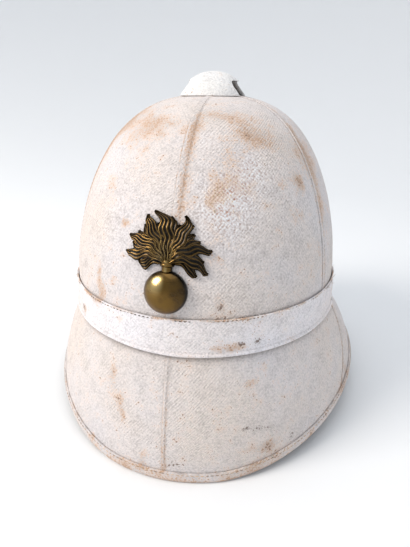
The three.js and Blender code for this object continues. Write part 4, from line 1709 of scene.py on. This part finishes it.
            # painted shade: locks turned towards the right are made darker
            wear_and_painted_light.append(min(1.0, worn * (1 - 0.16 * smooth_mix(10, 80, lock.turn))))
        leaf.data.attributes.new("wear_and_painted_light", "FLOAT", "POINT").data.foreach_set("value", wear_and_painted_light)
        apply_modifier(leaf, "SOLIDIFY", thickness=0.7, offset=-1)
        values = [0.0] * len(leaf.data.vertices)
        leaf.data.attributes["wear_and_painted_light"].data.foreach_get("value", values)
        leaf.data.attributes.remove(leaf.data.attributes["wear_and_painted_light"])
        for vertex in leaf.data.vertices:
            vertex.co.z = max(vertex.co.z, self.form.fit_gap)
        self.bend(leaf, values)
        return leaf

    def build(self, finish: bpy.types.Material) -> list[bpy.types.Object]:
        """Models the badge.

        Args:
            finish: the brass.

        Returns:
            The ball, the neck and the flame.
        """
        ball = join([self.ball()], "badge_ball")
        low = self.collar_up - self.collar_height / 2
        neck = self.bar(self.neck_radius, self.ball_radius / 2, self.root_up + 1.2, 0.6)
        collar = self.bar(self.collar_radius, low, low + self.collar_height, 1.1)
        neck = join([neck, collar], "badge_neck")
        flame = join([self.lock(lock) for lock in LOCKS], "badge_flame")
        for piece in (ball, neck, flame):
            smooth(piece, FINE_CREASE)
            hand_over(piece, finish, ("badge",))
        return [ball, neck, flame]


@dataclass(frozen=True)
class Studio:
    """The plain paper sweep, the soft lights and the camera."""

    paper: str = "#E9EBED"
    floor_radius: float = 0.7
    sweep_radius: float = 2.0
    wall: float = 1.2
    steps: int = 24
    air: str = "#E9EDF3"
    air_strength: float = 0.84
    lens: float = 26.31
    eye: tuple[float, float, float] = (61.2, -317.15, 212.7)
    aim: tuple[float, float, float] = (-2.87, -22.74, 80.2)
    roll: float = 0.57

    def build_sweep(self) -> bpy.types.Object:
        """A round floor whose edge curves up into a wall."""
        deselect()
        bpy.ops.mesh.primitive_circle_add(vertices=96, radius=self.floor_radius, fill_type="NGON")
        sweep = bpy.context.object
        sweep.name = sweep.data.name = "paper_sweep"
        bpy.ops.object.mode_set(mode="EDIT")
        bpy.ops.mesh.select_all(action="SELECT")
        bpy.ops.mesh.region_to_loop()
        radius = self.floor_radius
        for i in range(1, self.steps + 1):
            before, after = (math.pi / 2 * (i - 1) / self.steps, math.pi / 2 * i / self.steps)
            rise = self.sweep_radius * (math.cos(before) - math.cos(after))
            grown = radius + self.sweep_radius * (math.sin(after) - math.sin(before))
            bpy.ops.mesh.extrude_edges_move(TRANSFORM_OT_translate={"value": (0, 0, rise)})
            bpy.ops.transform.resize(value=(grown / radius, grown / radius, 1))
            radius = grown
        bpy.ops.mesh.extrude_edges_move(TRANSFORM_OT_translate={"value": (0, 0, self.wall)})
        bpy.ops.mesh.select_all(action="SELECT")
        bpy.ops.mesh.normals_make_consistent(inside=True)
        bpy.ops.object.mode_set(mode="OBJECT")
        smooth(sweep, FINE_CREASE)
        material = bpy.data.materials.new("matt paper")
        add = partial(add_node, empty_tree(material))
        place = add("TexCoord", {}, out="Object")
        tooth = add("TexNoise", {"Vector": place, "Scale": 900.0, "Detail": 2.0})
        matt = {
            "Base Color": to_linear(self.paper),
            "Roughness": 0.9,
            "Specular IOR Level": 0.15,
            "Normal": add("Bump", {"Height": tooth, "Strength": 0.05, "Distance": 0.1 * MM}),
        }
        add("OutputMaterial", {0: add("BsdfPrincipled", matt)})
        sweep.data.materials.append(material)
        return sweep

    def add_light(self, name: str, place: tuple, size: float, watts: float, colour: str) -> None:
        """Adds a square soft light that faces the helmet.

        Args:
            name: the light's name.
            place: where it hangs, in metres.
            size: its side, in metres.
            watts: its power.
            colour: its colour.
        """
        light = bpy.data.lights.new(name, "AREA")
        light.size = size
        light.energy = watts
        light.color = to_linear(colour)[:3]
        lamp = bpy.data.objects.new(name, light)
        lamp.location = place
        towards = Vector((0, 0, 0.1)) - Vector(place)
        lamp.rotation_euler = towards.to_track_quat("-Z", "Y").to_euler()
        bpy.context.collection.objects.link(lamp)

    def light_up(self) -> None:
        """A broad key light from the upper left, a soft one from above, and pale air all round."""
        scene = bpy.context.scene
        scene.view_settings.view_transform = "Standard"
        scene.world = scene.world or bpy.data.worlds.new("air")
        add = partial(add_node, empty_tree(scene.world))
        add("OutputWorld", {0: add("Background", {0: to_linear(self.air), 1: self.air_strength})})
        self.add_light("key", (-1.1, -0.75, 1.15), 0.7, 21, "#FFF6EC")
        self.add_light("top", (0.1, 0.2, 1.9), 1.6, 10, "#FFFFFF")

    def place_camera(self) -> None:
        """Sets the camera where the photograph was taken from."""
        data = bpy.data.cameras.new("camera")
        data.lens = self.lens
        data.sensor_width = 36
        data.clip_start = 0.01
        camera = bpy.data.objects.new("camera", data)
        eye, aim = Vector(self.eye) * MM, Vector(self.aim) * MM
        ahead = (aim - eye).normalized()
        right = ahead.cross(Vector((0, 0, 1))).normalized()
        up = right.cross(ahead)
        tilt = math.radians(self.roll)
        turned = right * math.cos(tilt) + up * math.sin(tilt)
        up = up * math.cos(tilt) - right * math.sin(tilt)
        camera.matrix_world = Matrix.LocRotScale(eye, Matrix((turned, up, -ahead)).transposed(), None)
        bpy.context.collection.objects.link(camera)
        bpy.context.scene.camera = camera


def main() -> None:
    """Builds the helmet over its frame, piece by piece."""
    logging.basicConfig(level=logging.INFO, format="%(name)s: %(message)s")
    studio = Studio()
    studio.place_camera()
    studio.build_sweep()
    studio.light_up()

    form = HelmetForm()
    soiling = Soiling(form, PLACES)
    drill = WhitenedDrill().material()
    band_drill = WhitenedDrill("whitened band drill", cool_white="#E3E1E6", warm_white="#E8E1E0").material()
    binding_drill = WhitenedDrill("whitened edge drill", rubbed_all_over=0.12).material()
    cap_whites = {"cool_white": "#DADADC", "warm_white": "#E0DEDA", "peach": "#D3CDC7"}
    # the cap's painted shade colour is near black, for the shade inside the dome
    cap_drill = WhitenedDrill("whitened cap drill", painted_shade="#1C1714", **cap_whites).material()
    thread = CottonThread().material()
    dark_thread = CottonThread("soiled cotton thread", "#8A7360", "#2B231E").material()
    white_thread = CottonThread("whitened cotton thread", "#D0C8C2", "#A39388").material()
    loose_thread = CottonThread("loose cotton thread", "#F4F0EC", "#C2B4A8").material()
    brass = AgedBrass().material()
    cork = PressedCork().material()

    for name in ("crown_shell", "brim_shell"):
        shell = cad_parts[name]
        for slot in shell.material_slots:
            slot.material = cork
        log.info("%s: cork finish", name)

    crown = CrownCover(form, soiling)
    crown.build(drill)
    brim = BrimCover(form, soiling)
    brim.build(drill)
    band = HatBand(form, soiling)
    band.build(band_drill)
    binding = RimBinding(form, soiling)
    binding.build(binding_drill)
    fine, finest = Stitching(thickness=0.36), Stitching(thickness=0.34)
    fine.sew("crown_seam_stitches", crown.seam_paths(from_edge=3.6), [], white_thread, "crown_canvas")
    finest.sew("brim_seam_stitches", brim.seam_paths(from_edge=1.5), [], white_thread, "brim_canvas")
    short = Stitching(length=1.5, pitch=2.6, thickness=0.6)
    short.sew("band_stitches", [], [band.path(below=0.8, stand=1.3)], dark_thread, "band_cloth")
    FrayedThreads(band).build(loose_thread)
    binding_path = binding.path(up=4.9, stand=1.3)
    Stitching().sew("binding_stitches", [], [binding_path], thread, "binding_cloth")
    VentilatorCap(form).build(cap_drill)
    GrenadeBadge(form).build(brass)


if __name__ == "__main__":
    main()
